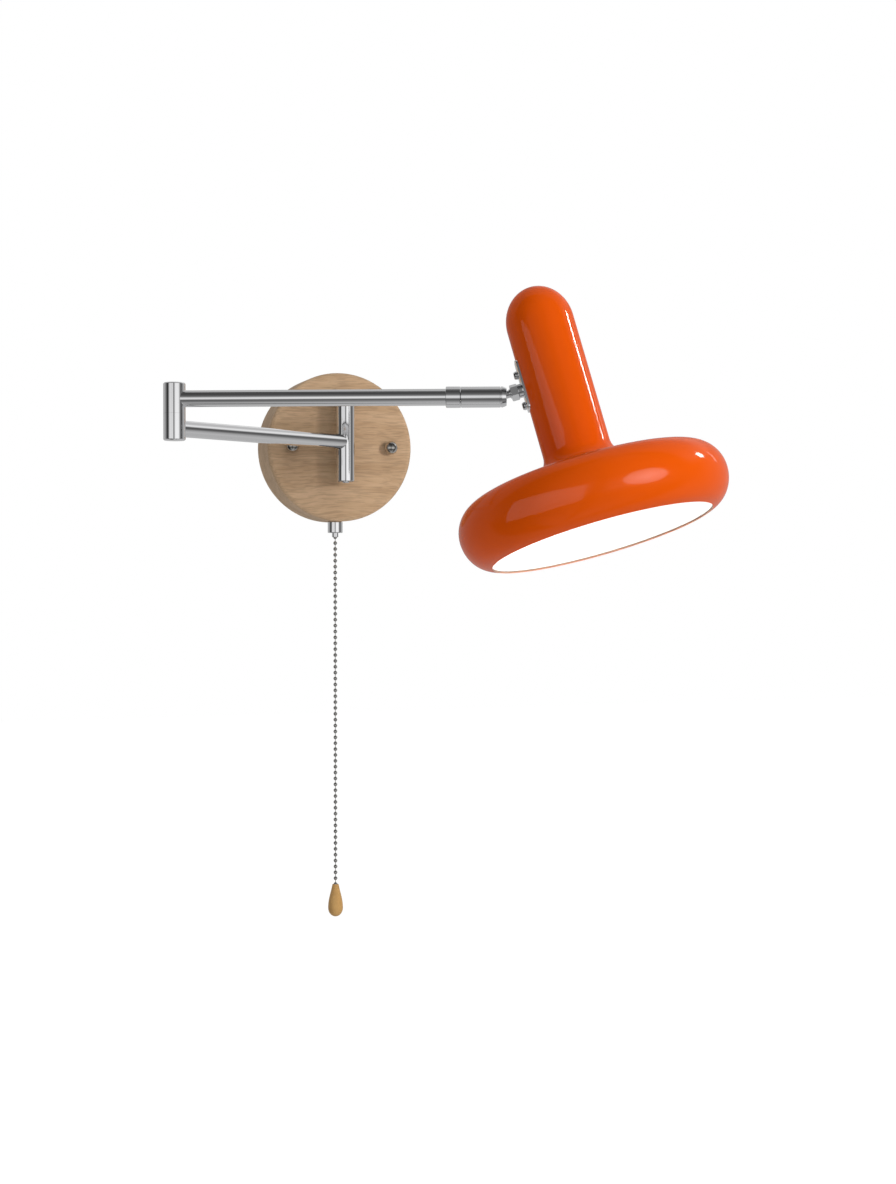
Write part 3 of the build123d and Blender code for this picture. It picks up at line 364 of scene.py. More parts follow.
# Wooden base
# A round of solid oak, turned with a softened front edge and hollowed from behind for the wall
# box's screws and the switch. It is oiled, and its grain lies level.
base_r = 0.060
base_depth = 0.038
base_edge = 0.0035
base_hollow_r = 0.051
base_hollow_depth = 0.027
facing_room = Matrix.Rotation(math.radians(90), 4, "X")
oak = beech_or_oak("oiled_oak", (0.64, 0.445, 0.275), (0.46, 0.30, 0.168), "X", 120.0, 0.17, 0.5, 0.17)
base_round = turned("oak_base", softened([
    (0.0, base_depth, 0), (base_r, base_depth, base_edge), (base_r, 0.0, 0.0006),
    (base_hollow_r, 0.0, 0.0004), (base_hollow_r, base_hollow_depth, 0.0015),
    (0.0, base_hollow_depth, 0)], steps=8), oak, facing_room, steps=144, crease=40.0)
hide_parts("wooden_base")
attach(base_round, "base")

# Mounting strap, studs and earth screw
# A zinc plated steel strap is screwed over the wall box. Two studs riveted in it pass through
# the wood, and a brass screw takes the earth wire.
def dressed(finish, *names):
    """CAD nodes whose shape is right, given their finish."""
    for name in names:
        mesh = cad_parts[name].data
        mesh.materials.clear()
        mesh.materials.append(finish)


zinc = polished_metal("zinc_plate", (0.56, 0.57, 0.58), 0.32, 0.15)
brass = polished_metal("brass", (0.80, 0.58, 0.26), 0.22, 0.12)
dressed(zinc, "mounting_strap", "mounting_studs")
dressed(brass, "earth_screw")

# Ball nuts
# Two small polished ball nuts, each on a round foot, are screwed on the studs and clamp the
# wood to the strap. Their nickel plate is greyer than the chrome of the arms.
nut_spacing = 0.082
nut_ball_r = 0.00545
nut_ball_reach = 0.0044
nut_foot_r = 0.0036


def row_tree():
    """Nodes that set a number of like fasteners in a row, a spacing apart, about the middle."""
    tree, given = new_tree("row of fasteners", (
        ("Fastener", "Geometry"), ("Count", "Int"), ("Spacing", "Float"), ("Finish", "Material")))
    step = add_node(tree, "ShaderNodeCombineXYZ", {"X": given["Spacing"]})["Vector"]
    gaps = add_node(tree, "ShaderNodeMath", {0: given["Count"], 1: 1.0}, operation="SUBTRACT")
    half = add_node(tree, "ShaderNodeMath", {0: gaps["Value"], 1: -0.5}, operation="MULTIPLY")
    first = add_node(tree, "ShaderNodeVectorMath", {0: step, "Scale": half["Value"]}, operation="SCALE")
    line = add_node(tree, "GeometryNodeMeshLine", {
        "Count": given["Count"], "Start Location": first["Vector"], "Offset": step}, mode="OFFSET")
    copies = add_node(tree, "GeometryNodeInstanceOnPoints", {
        "Points": line["Mesh"], "Instance": given["Fastener"]})
    put_out(tree, given, copies["Instances"])
    return tree


fastener_row = row_tree()


def in_a_row(name, fastener, count, spacing, finish, place):
    """Like fasteners in a row along X, made from one finished mesh object."""
    host = in_scene(name + "_pattern", fastener.data)
    bpy.data.objects.remove(fastener)
    row = made_by_nodes(name, host, fastener_row, {"Count": count, "Spacing": spacing, "Finish": finish})
    return cleaned(row, place, 40.0)


dark_nickel = polished_metal("dark_nickel", (0.55, 0.53, 0.50), 0.08)
nut_side = [(0.0, base_depth), (nut_foot_r, base_depth), (nut_foot_r, base_depth + 0.0012)]
ball_middle = base_depth + nut_ball_reach
ball_start = math.pi - math.asin((nut_foot_r - 0.0003) / nut_ball_r)
for step in range(19):
    bend = ball_start * (1 - step / 18)
    nut_side.append((nut_ball_r * math.sin(bend), max(ball_middle + nut_ball_r * math.cos(bend), base_depth)))
one_nut = turned("ball_nut", nut_side, dark_nickel, facing_room, steps=40, crease=40.0)
ball_nuts = in_a_row("ball_nuts", one_nut, 2, nut_spacing, dark_nickel, Matrix.Identity(4))
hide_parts("cap_nuts")
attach(ball_nuts, "base")

# Wall pivot
# A chromed block on a hollow stub stands off the wood and holds a fixed steel spindle. The stub
# is drawn tight by a nut and washer inside the base, and a domed screw closes the lower end.
pivot_reach = 0.0525
pivot = Matrix.Translation((0.0, -pivot_reach, 0.0))
pivot_r = 0.0075
block_low = 0.0326
block_high = 0.0440
pivot_head = turned("pivot_block_chrome", softened([
    (0.0, block_low, 0), (pivot_r, block_low, 0.0004), (pivot_r, block_high, 0.0008),
    (0.0, block_high, 0)]), chrome, pivot, steps=64)
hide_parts("pivot_block")
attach(pivot_head, "base")
dome_low = -0.0298
dome_top = -0.0278
bottom_screw = turned("pivot_screw_dome", softened([
    (0.0, dome_low, 0), (0.0028, dome_low, 0.0006), (0.0035, -0.0290, 0.0004), (0.0035, dome_top, 0.0001),
    (0.0020, dome_top, 0.0), (0.0020, -0.0166, 0), (0.0, -0.0166, 0)]), chrome, pivot, steps=32)
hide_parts("pivot_bottom_screw")
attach(bottom_screw, "base")
dressed(zinc, "pivot_stub", "stub_fasteners", "pivot_spindle", "pivot_retainer")

# Terminal block and leads
# Moulded nylon blocks and sheathed copper leads, hidden in the base. The leads run from the
# brass clamps into the hollow stub, and down to the switch.
def moulded(name, colour, roughness):
    """Moulded plastic with a fine even texture."""
    finish, tree, shader, place = new_finish(name)
    relief = add_node(tree, "ShaderNodeBump", {
        "Height": noise(tree, place, 900.0, 3.0), "Strength": 0.2, "Distance": 0.00005})
    feed(tree, shader, {"Base Color": (*colour, 1.0), "Roughness": roughness, "Normal": relief["Normal"]})
    return finish


cream_plastic = moulded("cream_plastic", (0.78, 0.76, 0.68), 0.45)
lead_sheath = moulded("lead_sheath", (0.045, 0.045, 0.05), 0.5)
dressed(cream_plastic, "terminal_block")
dressed(brass, "terminal_screws")
dressed(lead_sheath, "base_leads")

# Pull switch
# A black moulded switch is let into the base. Its threaded neck comes out at the bottom, where
# a chromed collar with a thin spout holds it; the plunger and its spring are steel.
ferrule_r = 0.0061
ferrule_bore_r = 0.00495
ferrule_top = -0.06005
ferrule_step = -0.0643
ferrule_low = -0.06905
spout_r = 0.0026
spout_bore_r = 0.00225
spout_low = chain_top
black_plastic = moulded("black_plastic", (0.02, 0.02, 0.021), 0.42)
dressed(black_plastic, "pull_switch_body", "pull_switch_cover")
dressed(brass, "switch_contacts")
dressed(zinc, "switch_plunger", "switch_spring")
ferrule = turned("ferrule_and_spout", softened([
    (ferrule_bore_r, ferrule_top, 0), (ferrule_r, ferrule_top, 0.0003), (ferrule_r, ferrule_low, 0.0006),
    (spout_r, ferrule_low, 0.0001), (spout_r, spout_low, 0.0003), (spout_bore_r, spout_low, 0.0),
    (spout_bore_r, ferrule_step, 0), (ferrule_bore_r, ferrule_step, 0), (ferrule_bore_r, ferrule_top, 0)]),
    chrome, Matrix.Translation((chain_x, chain_y, 0.0)), steps=40)
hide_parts("switch_ferrule")
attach(ferrule, "base")

# Lower arm
# Chromed 12 mm tube, brazed to the sleeve that turns about the wall pivot and to the elbow's
# lower half. Nylon bushes run in the sleeve, and two leads lie in the tube.
arm_r = 0.006
arm_bore_r = 0.005
braze_depth = 0.0004
lower_arm_length = 0.178
lower_arm_z = 0.003
lower_arm_heading = math.radians(211.0)
lower_place = (Matrix.Translation((0.0, -pivot_reach, lower_arm_z))
               @ Matrix.Rotation(lower_arm_heading, 4, "Z"))
elbow_r = 0.008


def skin(work, rings):
    """Faces with four sides from each ring of points to the next."""
    for one, two in zip(rings, rings[1:]):
        for s, corner in enumerate(one):
            on = (s + 1) % len(one)
            work.faces.new((corner, one[on], two[on], two[s]))


def built(name, work, place, crease):
    """Chromed piece of the faces that were made one by one."""
    mesh = bpy.data.meshes.new(name)
    work.to_mesh(mesh)
    work.free()
    mesh.materials.append(chrome)
    return cleaned(in_scene(name, mesh), place, crease)


def coped_tube(name, near_hub_r, far_x, far_hub_r, place):
    """Straight tube along X, each end cut to the round hub that it is brazed to."""
    steps = 64
    count = 24
    work = bmesh.new()
    rings = []
    for radius in (arm_r, arm_bore_r):
        for n in range(count + 1):
            share = n / count if radius == arm_r else 1 - n / count
            ring = []
            for s in range(steps):
                turn = 2 * math.pi * s / steps
                y, z = radius * math.cos(turn), radius * math.sin(turn)
                start = math.sqrt(max(near_hub_r ** 2 - y ** 2, 0.0))
                end = far_x - math.sqrt(max(far_hub_r ** 2 - y ** 2, 0.0))
                ring.append(work.verts.new((start + (end - start) * share, y, z)))
            rings.append(ring)
    skin(work, rings + rings[:1])
    return built(name, work, place, 40.0)


lower_tube = coped_tube("lower_arm_chrome", pivot_r - braze_depth, lower_arm_length, elbow_r - braze_depth,
                        lower_place)
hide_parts("lower_arm_tube")
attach(lower_tube, "lower_arm")
pivot_bore_r = 0.006
sleeve_low = -0.0285
sleeve_high = 0.0320
pivot_sleeve = turned("wall_pivot_chrome", softened([
    (pivot_bore_r, sleeve_low, 0), (pivot_r, sleeve_low, 0.0005), (pivot_r, sleeve_high, 0.0003),
    (pivot_bore_r, sleeve_high, 0.0001), (pivot_bore_r, sleeve_low, 0)]), chrome, pivot, steps=64)
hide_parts("wall_pivot_sleeve")
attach(pivot_sleeve, "lower_arm")
nylon = moulded("nylon", (0.80, 0.79, 0.75), 0.4)
dressed(nylon, "pivot_bushes")
dressed(lead_sheath, "lower_arm_leads")

# Elbow
# Two chromed sleeves, one on each arm, turn on a steel pin with bronze bushes. A thin fibre
# washer lies in the joint, and a cap is pressed flush in each end.
elbow_spot = lower_place @ Vector((lower_arm_length, 0.0, 0.0))
elbow = Matrix.Translation((elbow_spot.x, elbow_spot.y, 0.0))
elbow_bore_r = 0.0065
elbow_low = -0.0058
elbow_joint = 0.0136
elbow_seam = 0.00003
elbow_high = 0.0358
elbow_edge = 0.0008
lower_half = turned("elbow_lower_chrome", softened([
    (elbow_bore_r, elbow_low, 0), (elbow_r - elbow_edge, elbow_low, 0.0002),
    (elbow_r, elbow_low + elbow_edge, 0.0003), (elbow_r, elbow_joint - elbow_seam, 0),
    (elbow_bore_r, elbow_joint - elbow_seam, 0), (elbow_bore_r, elbow_low, 0)]), chrome, elbow, steps=64)
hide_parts("elbow_lower_sleeve")
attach(lower_half, "lower_arm")
upper_half = turned("elbow_upper_chrome", softened([
    (elbow_bore_r, elbow_high, 0), (elbow_r - elbow_edge, elbow_high, 0.0002),
    (elbow_r, elbow_high - elbow_edge, 0.0003), (elbow_r, elbow_joint + elbow_seam, 0),
    (elbow_bore_r, elbow_joint + elbow_seam, 0), (elbow_bore_r, elbow_high, 0)]), chrome, elbow, steps=64)
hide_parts("elbow_upper_sleeve")
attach(upper_half, "upper_arm")
cap_thick = 0.002
for name, node, inner, outer, body in (
        ("elbow_cap_below", "elbow_bottom_cap", elbow_low + cap_thick, elbow_low, "lower_arm"),
        ("elbow_cap_above", "elbow_top_cap", elbow_high - cap_thick, elbow_high, "upper_arm")):
    cap = turned(name, softened([(0.0, inner, 0), (elbow_bore_r, inner, 0.0001),
                                 (elbow_bore_r, outer, 0.0002), (0.0, outer, 0)]), chrome, elbow, steps=64)
    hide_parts(node)
    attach(cap, body)
bronze = polished_metal("bearing_bronze", (0.66, 0.42, 0.22), 0.3, 0.1)
fibre = moulded("fibre_washer", (0.11, 0.09, 0.08), 0.6)
dressed(zinc, "elbow_pin", "elbow_fasteners")
dressed(bronze, "elbow_bushes")
dressed(fibre, "elbow_friction_washer")

# Upper arm
# The same chromed tube, with a collar on its far end. The collar is threaded for the hollow
# spindle that the shade's sleeve turns on; spring discs and a nut set how stiffly it turns.
upper_arm_z = 0.0242
upper_arm_heading = math.radians(-22.0)
upper_place = (Matrix.Translation((elbow_spot.x, elbow_spot.y, upper_arm_z))
               @ Matrix.Rotation(upper_arm_heading, 4, "Z"))
along_x = Matrix.Rotation(math.radians(90), 4, "Y")
upper_tube_end = 0.203
upper_tube = coped_tube("upper_arm_chrome", elbow_r - braze_depth, upper_tube_end, 0.0, upper_place)
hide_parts("upper_arm_tube")
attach(upper_tube, "upper_arm")
collar_r = 0.0076
collar_fit_r = 0.0059
collar_start = 0.196
collar_end = 0.2065
spindle_bore_r = 0.0041
collar = turned("arm_collar_chrome", softened([
    (collar_fit_r, collar_start, 0), (collar_r, collar_start, 0.0005), (collar_r, collar_end, 0.0004),
    (spindle_bore_r, collar_end, 0.0001), (spindle_bore_r, 0.2031, 0), (collar_fit_r, 0.2031, 0),
    (collar_fit_r, collar_start, 0)]), chrome, upper_place @ along_x, steps=64)
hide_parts("arm_end_collar")
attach(collar, "upper_arm")
dressed(zinc, "swivel_spindle", "swivel_friction_discs", "swivel_nut")
dressed(lead_sheath, "upper_arm_leads")

# Swivel sleeve
# A chromed sleeve turns about the arm's end and houses the ball joint. The ring that keeps the
# ball in is screwed in its mouth, behind a narrow groove; a nylon cup and wave springs press.
ball_reach = 0.2337
swivel_roll = math.radians(-8.4)
swivel_place = (upper_place @ Matrix.Translation((ball_reach, 0, 0))
                @ Matrix.Rotation(swivel_roll, 4, "X"))
swivel_r = 0.0075
swivel_back = -0.0269
swivel_mouth = 0.0012
seat_bore_r = 0.0062
spring_bore_r = 0.0056
swivel_sleeve = turned("swivel_sleeve_chrome", softened([
    (spindle_bore_r, swivel_back, 0), (swivel_r, swivel_back, 0.0004), (swivel_r, swivel_mouth, 0.0002),
    (seat_bore_r, swivel_mouth, 0), (seat_bore_r, -0.0112, 0), (spring_bore_r, -0.0112, 0),
    (spring_bore_r, -0.0239, 0), (spindle_bore_r, -0.0239, 0), (spindle_bore_r, swivel_back, 0)]),
    chrome, swivel_place @ along_x, steps=64)
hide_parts("swivel_sleeve")
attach(swivel_sleeve, "head_swivel")
groove_r = 0.0070
mouth_ring = turned("swivel_mouth_chrome", softened([
    (0.0057, 0.0, 0), (0.0061, 0.0, 0), (0.0061, swivel_mouth, 0), (groove_r, swivel_mouth, 0),
    (groove_r, 0.0018, 0), (swivel_r, 0.0018, 0.00015), (swivel_r, 0.0026, 0.0003),
    (0.0063, 0.0055, 0.0003), (0.0056, 0.0055, 0.0001), (0.00474, 0.0033, 0), (0.0054, 0.0020, 0),
    (0.0057, 0.0, 0)]), chrome, swivel_place @ along_x, steps=64)
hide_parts("swivel_mouth_ring")
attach(mouth_ring, "head_swivel")
dressed(nylon, "ball_seat_cup")
dressed(zinc, "seat_springs")

# Ball stud and saddle plate
# The chromed ball and its hollow stem are one piece, locked by a hexagon nut to a curved plate.
# Two pan head screws hold the plate to the shade's neck and to the bracket inside it.
lamp_tilt = math.radians(-15.7)
lamp_place = swivel_place @ Matrix.Rotation(lamp_tilt, 4, "Y")
shade_axis_x = 0.0427
neck_r = 0.0244
ball_r = 0.0057
stem_thin_r = 0.0028
stem_r = 0.0035
stem_end = 0.0192
stem_side = [(0.0, -ball_r)]
stem_side += [(ball_r * math.sin(math.radians(a)), -ball_r * math.cos(math.radians(a)))
              for a in range(10, 151, 10)]
stem_side += softened([(stem_thin_r, 0.0050, 0), (stem_thin_r, 0.0080, 0.0002), (stem_r, 0.0081, 0.0001),
                       (stem_r, stem_end, 0), (0.0, stem_end, 0)])
ball_stem = turned("ball_and_stem", stem_side, chrome, lamp_place @ along_x, steps=40)
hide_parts("ball_stud")
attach(ball_stem, "lamp_head")

nut_start = 0.0089
nut_height = 0.0054
nut_flat = 0.0105


def hexagon_nut(name, flat, low, high, bore_r, place):
    """Hexagon nut along Z with its corners turned off at both faces."""
    chamfer_r = flat / 2 * 1.01
    chamfer_slope = 0.58
    steps = 72
    turns = [2 * math.pi * s / steps for s in range(steps)]
    work = bmesh.new()
    rows = []
    for z, cut in ((low, True), (low, False), (high, False), (high, True)):
        row = []
        for turn in turns:
            side = math.fmod(turn, math.pi / 3) - math.pi / 6
            reach = flat / 2 / math.cos(side)
            drop = max(reach - chamfer_r, 0.0) * chamfer_slope
            radius = min(reach, chamfer_r) if cut else reach
            height = z if cut else (z + drop if z == low else z - drop)
            row.append(work.verts.new((radius * math.cos(turn), radius * math.sin(turn), height)))
        rows.append(row)
    for z in (high, low):
        rows.append([work.verts.new((bore_r * math.cos(turn), bore_r * math.sin(turn), z)) for turn in turns])
    skin(work, rows + rows[:1])
    return built(name, work, place, 25.0)


stud_bore_r = 0.00355
stud_nut = hexagon_nut("stud_nut_chrome", nut_flat, nut_start, nut_start + nut_height, stud_bore_r,
                       lamp_place @ along_x)
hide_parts("stud_nut")
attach(stud_nut, "lamp_head")

saddle_low = -0.0158
saddle_high = 0.0212
saddle_half = 0.0075
saddle_corner = 0.003
saddle_thick = 0.0015


def curved_plate(name, place):
    """Plate bent to the neck, with rounded corners and a soft outer edge."""
    work = bmesh.new()
    middle = (saddle_low + saddle_high) / 2
    half_high = (saddle_high - saddle_low) / 2
    ring = []
    for cx, cz, start in ((1, 1, 0), (-1, 1, 90), (-1, -1, 180), (1, -1, 270)):
        for step in range(9):
            turn = math.radians(start + 90 * step / 8)
            ring.append((cx * (saddle_half - saddle_corner) + saddle_corner * math.cos(turn),
                         cz * (half_high - saddle_corner) + saddle_corner * math.sin(turn)))
    soft_edge = 0.0004
    layers = ((0.0, 0.0), (saddle_thick - soft_edge, 0.0), (saddle_thick - 0.0001, 0.00012),
              (saddle_thick, soft_edge))
    rows = []
    for lift, inset in layers:
        across = (saddle_half - inset) / saddle_half
        upwards = (half_high - inset) / half_high
        rows.append([(y * across, z * upwards, lift) for y, z in ring])
    for inner in (0.85, 0.6, 0.35, 0.12):
        rows.append([(y * inner, z * inner, saddle_thick) for y, z in ring])
        rows.insert(0, [(y * inner, z * inner, 0.0) for y, z in ring])
    made = []
    for row in rows:
        points = []
        for y, z, lift in row:
            radius, turn = neck_r + lift, y / neck_r
            points.append(work.verts.new((shade_axis_x - radius * math.cos(turn), radius * math.sin(turn),
                                          middle + z)))
        made.append(points)
    skin(work, made)
    work.faces.new(made[0])
    work.faces.new(made[-1])
    return built(name, work, place, 50.0)


saddle = curved_plate("saddle_chrome", lamp_place)
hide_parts("saddle_plate")
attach(saddle, "lamp_head")
boss_r = 0.0050
boss_low = 0.0143
boss_high = 0.0184
boss = turned("saddle_boss", softened([
    (stud_bore_r, boss_low, 0), (boss_r, boss_low, 0.0003), (boss_r, boss_high, 0),
    (stud_bore_r, boss_high, 0), (stud_bore_r, boss_low, 0)]), chrome, lamp_place @ along_x, steps=48)
boss.parent = saddle

screw_spacing = 0.023
screw_seat = shade_axis_x - neck_r - saddle_thick


def slotted_pan_head(name, head_r, head_height, shank_r, shank_length):
    """Pan head screw along Z: the head from 0 down, a driver slot, and a plain shank above."""
    piece = turned(name, softened([
        (0.0, -head_height, 0), (head_r * 0.75, -head_height, head_height * 0.25),
        (head_r, -head_height * 0.45, head_height * 0.3), (head_r, 0.0, 0.0001),
        (shank_r, 0.0, 0), (shank_r, shank_length, 0), (0.0, shank_length, 0)]), chrome, steps=40)
    work = bmesh.new()
    bmesh.ops.create_cube(work, size=1.0)
    bmesh.ops.scale(work, vec=(head_r * 3, head_r * 0.26, head_height * 0.7), verts=work.verts)
    bmesh.ops.translate(work, vec=(0, 0, -head_height), verts=work.verts)
    cutter = bpy.data.meshes.new(name + "_slot")
    work.to_mesh(cutter)
    work.free()
    blade = in_scene(name + "_slot", cutter)
    cut = piece.modifiers.new("driver slot", "BOOLEAN")
    cut.object = blade
    cut.operation = "DIFFERENCE"
    mesh = mesh_of(piece)
    bpy.data.objects.remove(blade)
    return in_scene(name, mesh)


one_screw = slotted_pan_head("pan_head_screw", 0.003, 0.0025, 0.0015, 0.0044)
screw_place = lamp_place @ Matrix.Translation((screw_seat, 0, 0)) @ along_x
plate_screws = in_a_row("plate_screws", one_screw, 2, screw_spacing, chrome, screw_place)
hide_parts("saddle_screws")
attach(plate_screws, "lamp_head")

# Shade
# One spun steel shell: a domed neck, a sloping top, a round shoulder and a beaded rim. It is
# sprayed gloss orange outside and gloss white inside. Where the two meet, a thin brown line is
# painted on the bead as painted shade on the rim's lip.
lamp_axis = lamp_place @ Matrix.Translation((shade_axis_x, 0, 0))
shade_wall = 0.0012
dome_height = 0.0275
shade_top = 0.0708
foot_fillet = 0.014
cone_slope = math.radians(9.5)
bowl_centre_r = 0.0768
bowl_drop = 0.0945
bowl_half = 0.0205
bowl_rise = 0.0226
bowl_sag = 0.0240
rim_turn = math.radians(81.1)


def shade_side(inset):
    """Outline of the shade from its top to its rim, moved inwards by inset."""
    radius, dome = neck_r - inset, dome_height - inset
    half, rise, sag = bowl_half - inset, bowl_rise - inset, bowl_sag - inset
    fillet = foot_fillet + inset
    dome_z = shade_top - dome_height
    turn = math.atan(math.tan(cone_slope) * half / rise)
    shoulder = (bowl_centre_r + half * math.sin(turn), -bowl_drop + rise * math.cos(turn))
    cone_z = shoulder[1] + (shoulder[0] - radius) * math.tan(cone_slope)
    foot_z = cone_z + fillet * (1 - math.sin(cone_slope)) / math.cos(cone_slope)
    side = []
    for step in range(17):
        bend = math.pi / 2 * (1 - step / 16)
        side.append((radius * math.cos(bend) if step else 0.0, dome_z + dome * math.sin(bend)))
    side += [(radius, dome_z + (foot_z - dome_z) * step / 10) for step in range(1, 11)]
    for step in range(1, 13):
        bend = math.pi + (math.pi / 2 - cone_slope) * step / 12
        side.append((radius + fillet + fillet * math.cos(bend), foot_z + fillet * math.sin(bend)))
    foot_end = side[-1]
    side += [(foot_end[0] + (shoulder[0] - foot_end[0]) * step / 8,
              foot_end[1] + (shoulder[1] - foot_end[1]) * step / 8) for step in range(1, 8)]
    top_turn = math.pi / 2 - turn
    for step in range(17):
        bend = top_turn * (1 - step / 16)
        side.append((bowl_centre_r + half * math.cos(bend), -bowl_drop + rise * math.sin(bend)))
    for step in range(1, 25):
        bend = -rim_turn * step / 24
        side.append((bowl_centre_r + half * math.cos(bend), -bowl_drop + sag * math.sin(bend)))
    return side


def gloss_enamel(name, colour, ripple):
    """Sprayed and baked gloss enamel: a faint orange peel under a clear wet shine."""
    finish, tree, shader, place = new_finish(name)
    tone = colour_ramp(tree, noise(tree, place, 22.0, 2.0), (
        (0.0, [c * 0.96 for c in colour]), (1.0, [min(c * 1.04, 1.0) for c in colour])))
    relief = add_node(tree, "ShaderNodeBump", {
        "Height": noise(tree, place, 420.0, 1.0), "Strength": ripple, "Distance": 0.00004})
    feed(tree, shader, {
        "Base Color": tone, "Roughness": 0.45, "Specular IOR Level": 0.0, "Normal": relief["Normal"],
        "Coat Weight": 0.6, "Coat IOR": 1.3, "Coat Roughness": 0.08, "Coat Normal": relief["Normal"]})
    return finish


orange_enamel = gloss_enamel("orange_enamel", (0.70, 0.084, 0.0022), 0.03)
# The brown on the rim is painted shade: it stands for the shaded lip of the white enamel.
painted_rim_shade = gloss_enamel("rim_painted_shade", (0.42, 0.27, 0.18), 0.10)
white_enamel = gloss_enamel("white_enamel", (0.92, 0.92, 0.91), 0.10)
outside = shade_side(0.0)
inside = shade_side(shade_wall)
bead_r = 0.0008
bead_steps = 12
lip_start, lip_end = 3, 9
bead_centre = (Vector(outside[-1]) + Vector(inside[-1])) / 2
off_outside = (Vector(outside[-1]) - Vector(outside[-2])).normalized().orthogonal()
bead_start = math.atan2(off_outside.y, off_outside.x)
bead = []
for step in range(bead_steps + 1):
    bend = bead_start + math.pi * step / bead_steps
    bead.append(tuple(bead_centre + bead_r * Vector((math.cos(bend), math.sin(bend)))))
outside_run = outside[:-1] + bead[:lip_start + 1]
rim_run = bead[lip_start:lip_end + 1]
inside_run = inside[:-1] + bead[lip_end:][::-1]
shade_line = outside_run + rim_run[1:] + inside_run[::-1][1:]
orange_shell = turned("orange_shade", shade_line, orange_enamel, lamp_axis, steps=160, crease=50.0)
orange_shell.data.materials.append(white_enamel)
orange_shell.data.materials.append(painted_rim_shade)


def off_the_run(point, run):
    """How far a point in radius and height lies from an outline."""
    nearest = 1.0
    for one, two in zip(run, run[1:]):
        start, side = Vector(one), Vector(two) - Vector(one)
        share = min(max((point - start).dot(side) / side.length_squared, 0.0), 1.0)
        nearest = min(nearest, (point - start - side * share).length)
    return nearest


# The middle of the bead takes the brown painted shade; the rest is orange or white enamel.
coated_runs = (outside_run, inside_run, rim_run)
upright = lamp_axis.inverted()
face_coats = {}
for face in orange_shell.data.polygons:
    middle = upright @ face.center
    spot = (round(math.hypot(middle.x, middle.y), 5), round(middle.z, 5))
    if spot not in face_coats:
        face_coats[spot] = min(range(3), key=lambda n: off_the_run(Vector(spot), coated_runs[n]))
    face.material_index = face_coats[spot]
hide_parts("shade")
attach(orange_shell, "lamp_head")
orange_shell.visible_glossy = False

# Lamp holder
# A plated steel angle bracket inside the neck carries a threaded nipple. The black moulded
# holder hangs from it, with a brass threaded shell and a sprung brass contact.
dressed(zinc, "holder_bracket", "holder_fittings")
dressed(black_plastic, "lamp_holder_cap", "lamp_holder_body")
dressed(brass, "holder_shell", "holder_contact", "bulb_cap")
dressed(lead_sheath, "head_lead")

# Bulb
# A small globe of opal glass cemented in a screw cap. It is alight, so the white enamel round
# it is bright; a white column inside carries the light source.
def lit_opal_glass(name):
    """Opal glass that glows a warm white, very slightly clouded."""
    finish, tree, shader, place = new_finish(name)
    tone = colour_ramp(tree, noise(tree, place, 40.0, 2.0), (
        (0.0, (1.0, 0.94, 0.85)), (1.0, (1.0, 0.97, 0.91))))
    feed(tree, shader, {"Base Color": (0.95, 0.94, 0.91, 1.0), "Roughness": 0.18,
                        "Emission Color": tone, "Emission Strength": 7.0})
    return finish


globe_r = 0.0225
globe_drop = 0.070
globe_glass = 0.0008
globe_neck_r = 0.0125
globe_neck_low = -0.0440
globe_neck_top = -0.0360
glow = lit_opal_glass("opal_glass_lit")
globe_side = [(0.0, -globe_drop - globe_r)]
neck_meets = math.pi - math.asin(globe_neck_r / globe_r)
for step in range(1, 25):
    bend = neck_meets * step / 24
    globe_side.append((globe_r * math.sin(bend), -globe_drop - globe_r * math.cos(bend)))
globe_side += [(globe_neck_r, globe_neck_low), (globe_neck_r, globe_neck_top),
               (globe_neck_r - globe_glass, globe_neck_top)]
for step in range(24, 0, -1):
    bend = neck_meets * step / 24
    globe_side.append(((globe_r - globe_glass) * math.sin(bend),
                       -globe_drop - (globe_r - globe_glass) * math.cos(bend)))
globe_side.append((0.0, -globe_drop - globe_r + globe_glass))
opal_globe = turned("opal_globe", globe_side, glow, lamp_axis, steps=64, crease=40.0)
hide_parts("bulb_globe")
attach(opal_globe, "lamp_head")
opal_globe.visible_glossy = False
white_plastic = moulded("white_plastic", (0.85, 0.85, 0.83), 0.4)
dressed(white_plastic, "bulb_led_stem")
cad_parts["bulb_led_stem"].visible_glossy = False

# Room
# A plain pale floor well below the hanging bob, almost white to the camera but for the lamp's
# shadow. The lamp has no wall behind it, so that it can be seen from all sides.
floor_z = -0.75
floor_half = 6
floor_mesh = bpy.data.meshes.new("floor")
floor_mesh.from_pydata([(x * floor_half, y * floor_half, floor_z)
                        for x, y in ((-1, -1), (1, -1), (1, 1), (-1, 1))], [], [(0, 1, 2, 3)])
floor = in_scene("floor", floor_mesh)
pale = bpy.data.materials.new("pale_floor")
pale.use_nodes = True
pale_tree = pale.node_tree
pale_tree.nodes.remove(pale_tree.nodes["Principled BSDF"])
plain = add_node(pale_tree, "ShaderNodeBsdfDiffuse", {"Color": (0.90, 0.90, 0.90, 1.0)})
shadowed = add_node(pale_tree, "ShaderNodeBsdfDiffuse", {"Color": (0.35, 0.35, 0.35, 1.0)})
lit = add_node(pale_tree, "ShaderNodeEmission", {"Strength": 0.86})
seen = add_node(pale_tree, "ShaderNodeAddShader", {0: shadowed["BSDF"], 1: lit["Emission"]})
pale_path = add_node(pale_tree, "ShaderNodeLightPath", {})
pick = add_node(pale_tree, "ShaderNodeMixShader", {
    "Fac": pale_path["Is Camera Ray"], 1: plain["BSDF"], 2: seen["Shader"]})
feed(pale_tree, pale_tree.nodes["Material Output"], {"Surface": pick["Shader"]})
floor_mesh.materials.append(pale)
floor.visible_glossy = False

